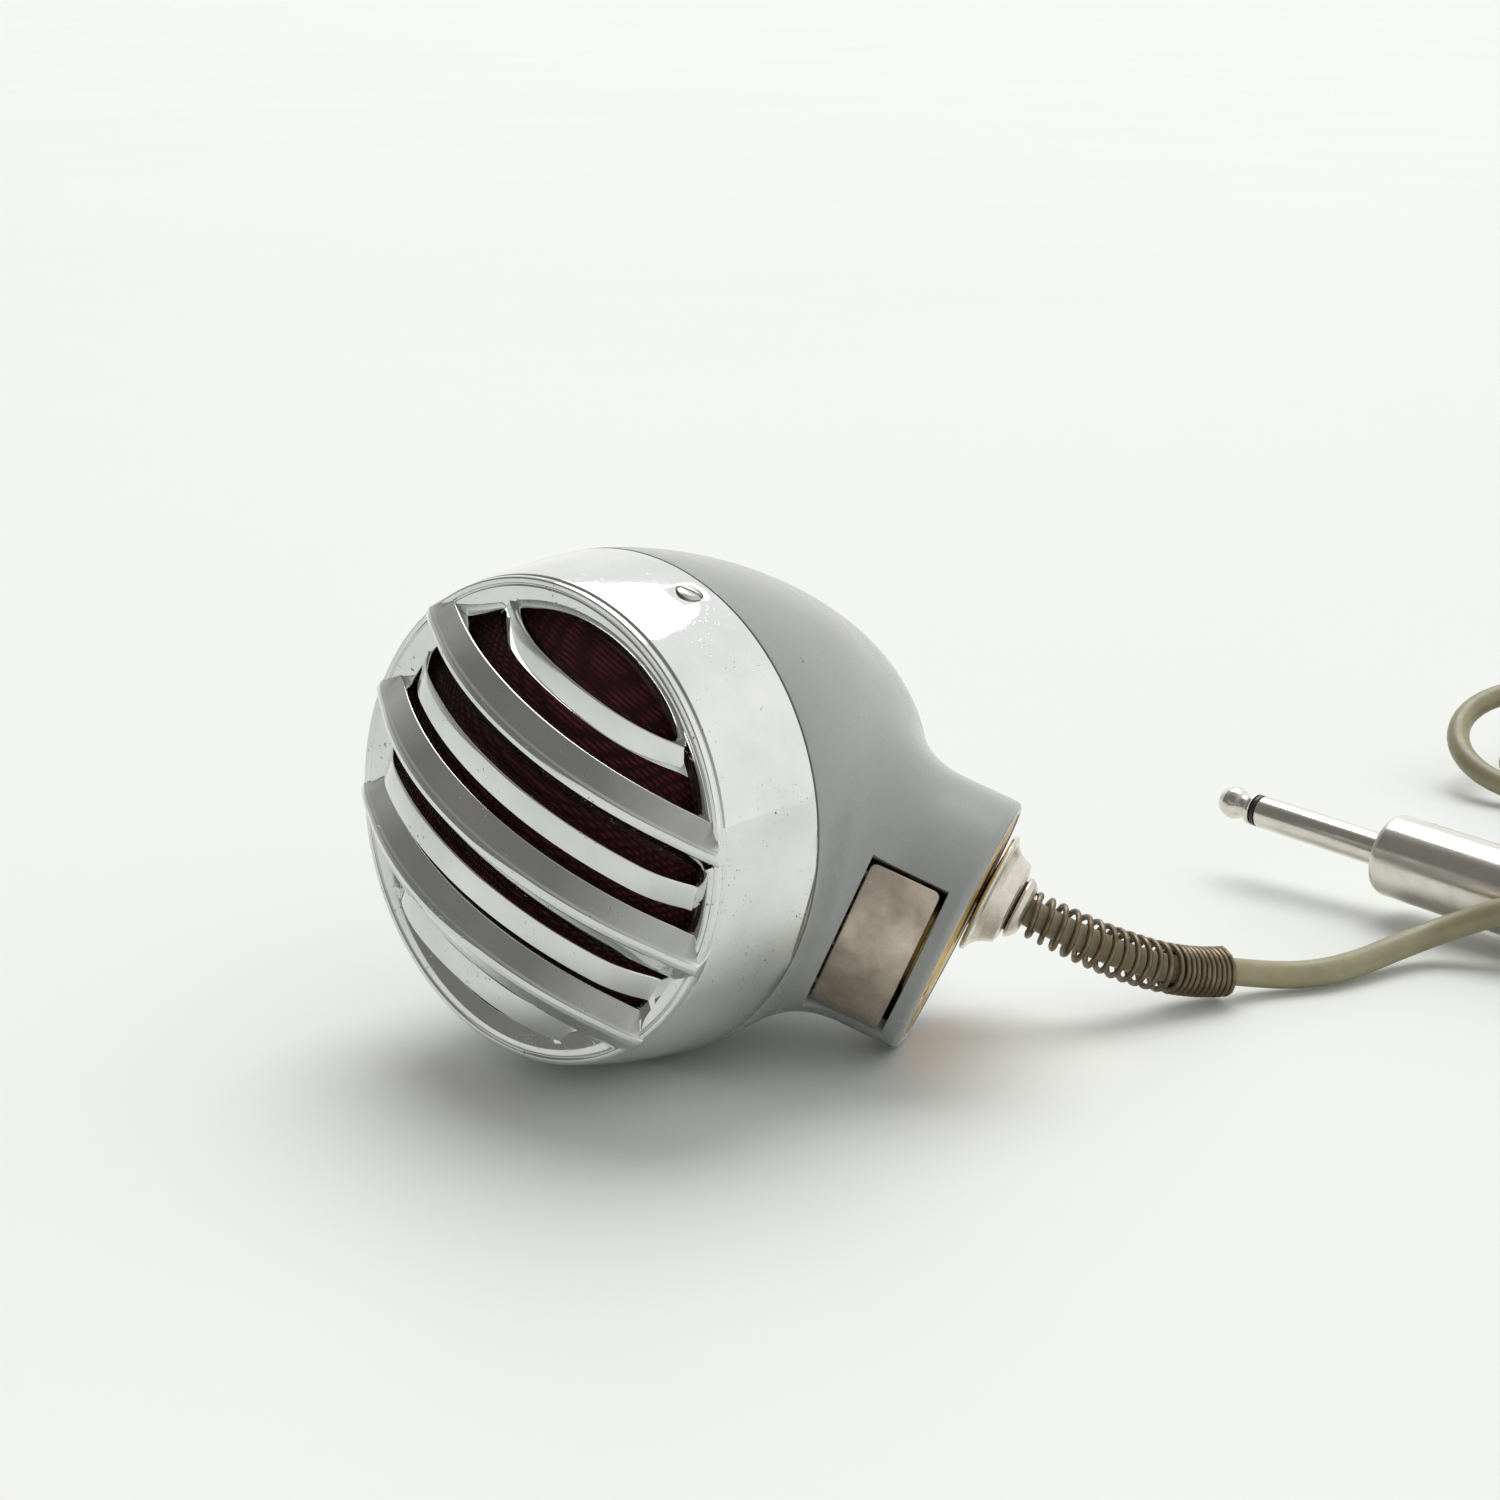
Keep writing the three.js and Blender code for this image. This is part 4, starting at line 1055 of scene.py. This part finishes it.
# ---- tie --------------------------------------------------------------------------------------
def tie_band(stations=17, thick=0.22):
    """Clear tape round the hank's waist, drawn in with it."""
    high = LOW_TURN + 2 * TURN_STEP + CORD_R + 0.12
    rings = []
    for i in range(stations):
        x = 5.0 * (2 * i / (stations - 1) - 1)
        wide = RUN - drawn_in(x) + CORD_R + 0.12
        outline = rounded([(-wide, 0.36), (wide, 0.36), (wide, high), (-wide, high)], 2.4, 8)
        rings.append([(x, y, z) for y, z in outline])
    n = len(rings[0])
    verts = [p for r in rings for p in r]
    faces = []
    for s in range(stations - 1):
        for i in range(n):
            j = (i + 1) % n
            faces.append((s * n + i, s * n + j, (s + 1) * n + j, (s + 1) * n + i))
    band = new_object("tie_band", verts, faces)
    step = band.modifiers.new("thick", "SOLIDIFY")
    step.thickness, step.offset = thick, 0.0
    return baked(band)


tie = tie_band()
paint(settle(tie, FLOOR @ HANK, "microphone", ["hank_tie"], 60), "clear_tape")

# ---- the rest of the frame ----------------------------------------------------------------------
KEPT = {
    "steel": ["cloth_screen", "cloth_retaining_ring", "baffle_screw_1", "baffle_screw_2", "baffle_screw_3"]
    + ["capsule_drive_unit", "lever_pin", "switch_bracket", "lever_return_spring"],
    "brass": ["receptacle_nut", "contact_leaf_moving", "contact_leaf_fixed", "contact_point"]
    + ["capsule_terminal_1", "capsule_terminal_2", "capsule_drive_pin"],
    "aluminium": ["capsule_baffle", "capsule_front_cap", "capsule_diaphragm", "capsule_case"],
    "fibre": ["lever_pad", "switch_insulator_front", "switch_insulator_rear", "capsule_rear_cover"],
    "black_rubber": ["baffle_gasket"],
}
for look, names in KEPT.items():
    for name in names:
        node = NODES[name]
        paint(node, look)
        node.data.shade_smooth()
        node.modifiers.new("weld", "WELD").merge_threshold = 0.000002
        split = node.modifiers.new("creases", "EDGE_SPLIT")
        split.split_angle = math.radians(32)


# ---- floor and light ----------------------------------------------------------------------------
def make_floor():
    """A pale table top that runs on past the horizon of the picture."""
    side = 80
    corners = [(-side, -side, 0), (side, -side, 0), (side, side, 0), (-side, side, 0)]
    floor = new_object("floor", corners, [(0, 1, 2, 3)])
    f = Finish("floor", 0.0)
    f.colour(f.ramp(f.noise(1.5, 3), [(0.3, (0.79, 0.815, 0.795)), (0.7, (0.81, 0.83, 0.81))]))
    f.rough(f.ramp(f.noise(8, 3), [(0.3, 0.45), (0.7, 0.55)]))
    f.bump(f.noise(260, 3), 0.00002)
    floor.data.materials.append(f.material)


def make_world():
    """A pale room, bright behind the microphone and darker over its front."""
    world = bpy.data.worlds.new("studio")
    bpy.context.scene.world = world
    world.use_nodes = True
    tree = world.node_tree
    light = tree.nodes["Background"]
    space = tree.nodes.new("ShaderNodeTexCoord")
    dot = tree.nodes.new("ShaderNodeVectorMath")
    dot.operation = "DOT_PRODUCT"
    tree.links.new(space.outputs["Generated"], dot.inputs[0])
    dot.inputs[1].default_value = Vector((-0.366, -0.785, 0.5)).normalized()
    ramp = tree.nodes.new("ShaderNodeValToRGB")
    tree.links.new(dot.outputs["Value"], ramp.inputs["Fac"])
    stops = [(0.10, (1.0, 1.0, 0.99)), (0.45, (0.52, 0.52, 0.52)), (0.82, (0.20, 0.195, 0.19))]
    ramp.color_ramp.elements.new(0.5)
    for spot, (place, colour) in zip(ramp.color_ramp.elements, stops):
        spot.position, spot.color = place, (*colour, 1.0)
    tree.links.new(ramp.outputs["Color"], light.inputs["Color"])
    light.inputs["Strength"].default_value = 1.0


def make_key():
    """One wide soft light from behind and above, even over the whole table."""
    data = bpy.data.lights.new("key", "SUN")
    data.energy, data.angle, data.color = 1.6, 0.75, (1.0, 0.99, 0.97)
    lamp = bpy.data.objects.new("key", data)
    lamp.rotation_mode = "QUATERNION"
    lamp.rotation_quaternion = Vector((0.33, -0.48, -1.1)).to_track_quat("-Z", "Y")
    bpy.context.collection.objects.link(lamp)


make_floor()
make_world()
make_key()
bpy.context.scene.view_settings.view_transform = "Standard"
bpy.context.view_layer.update()
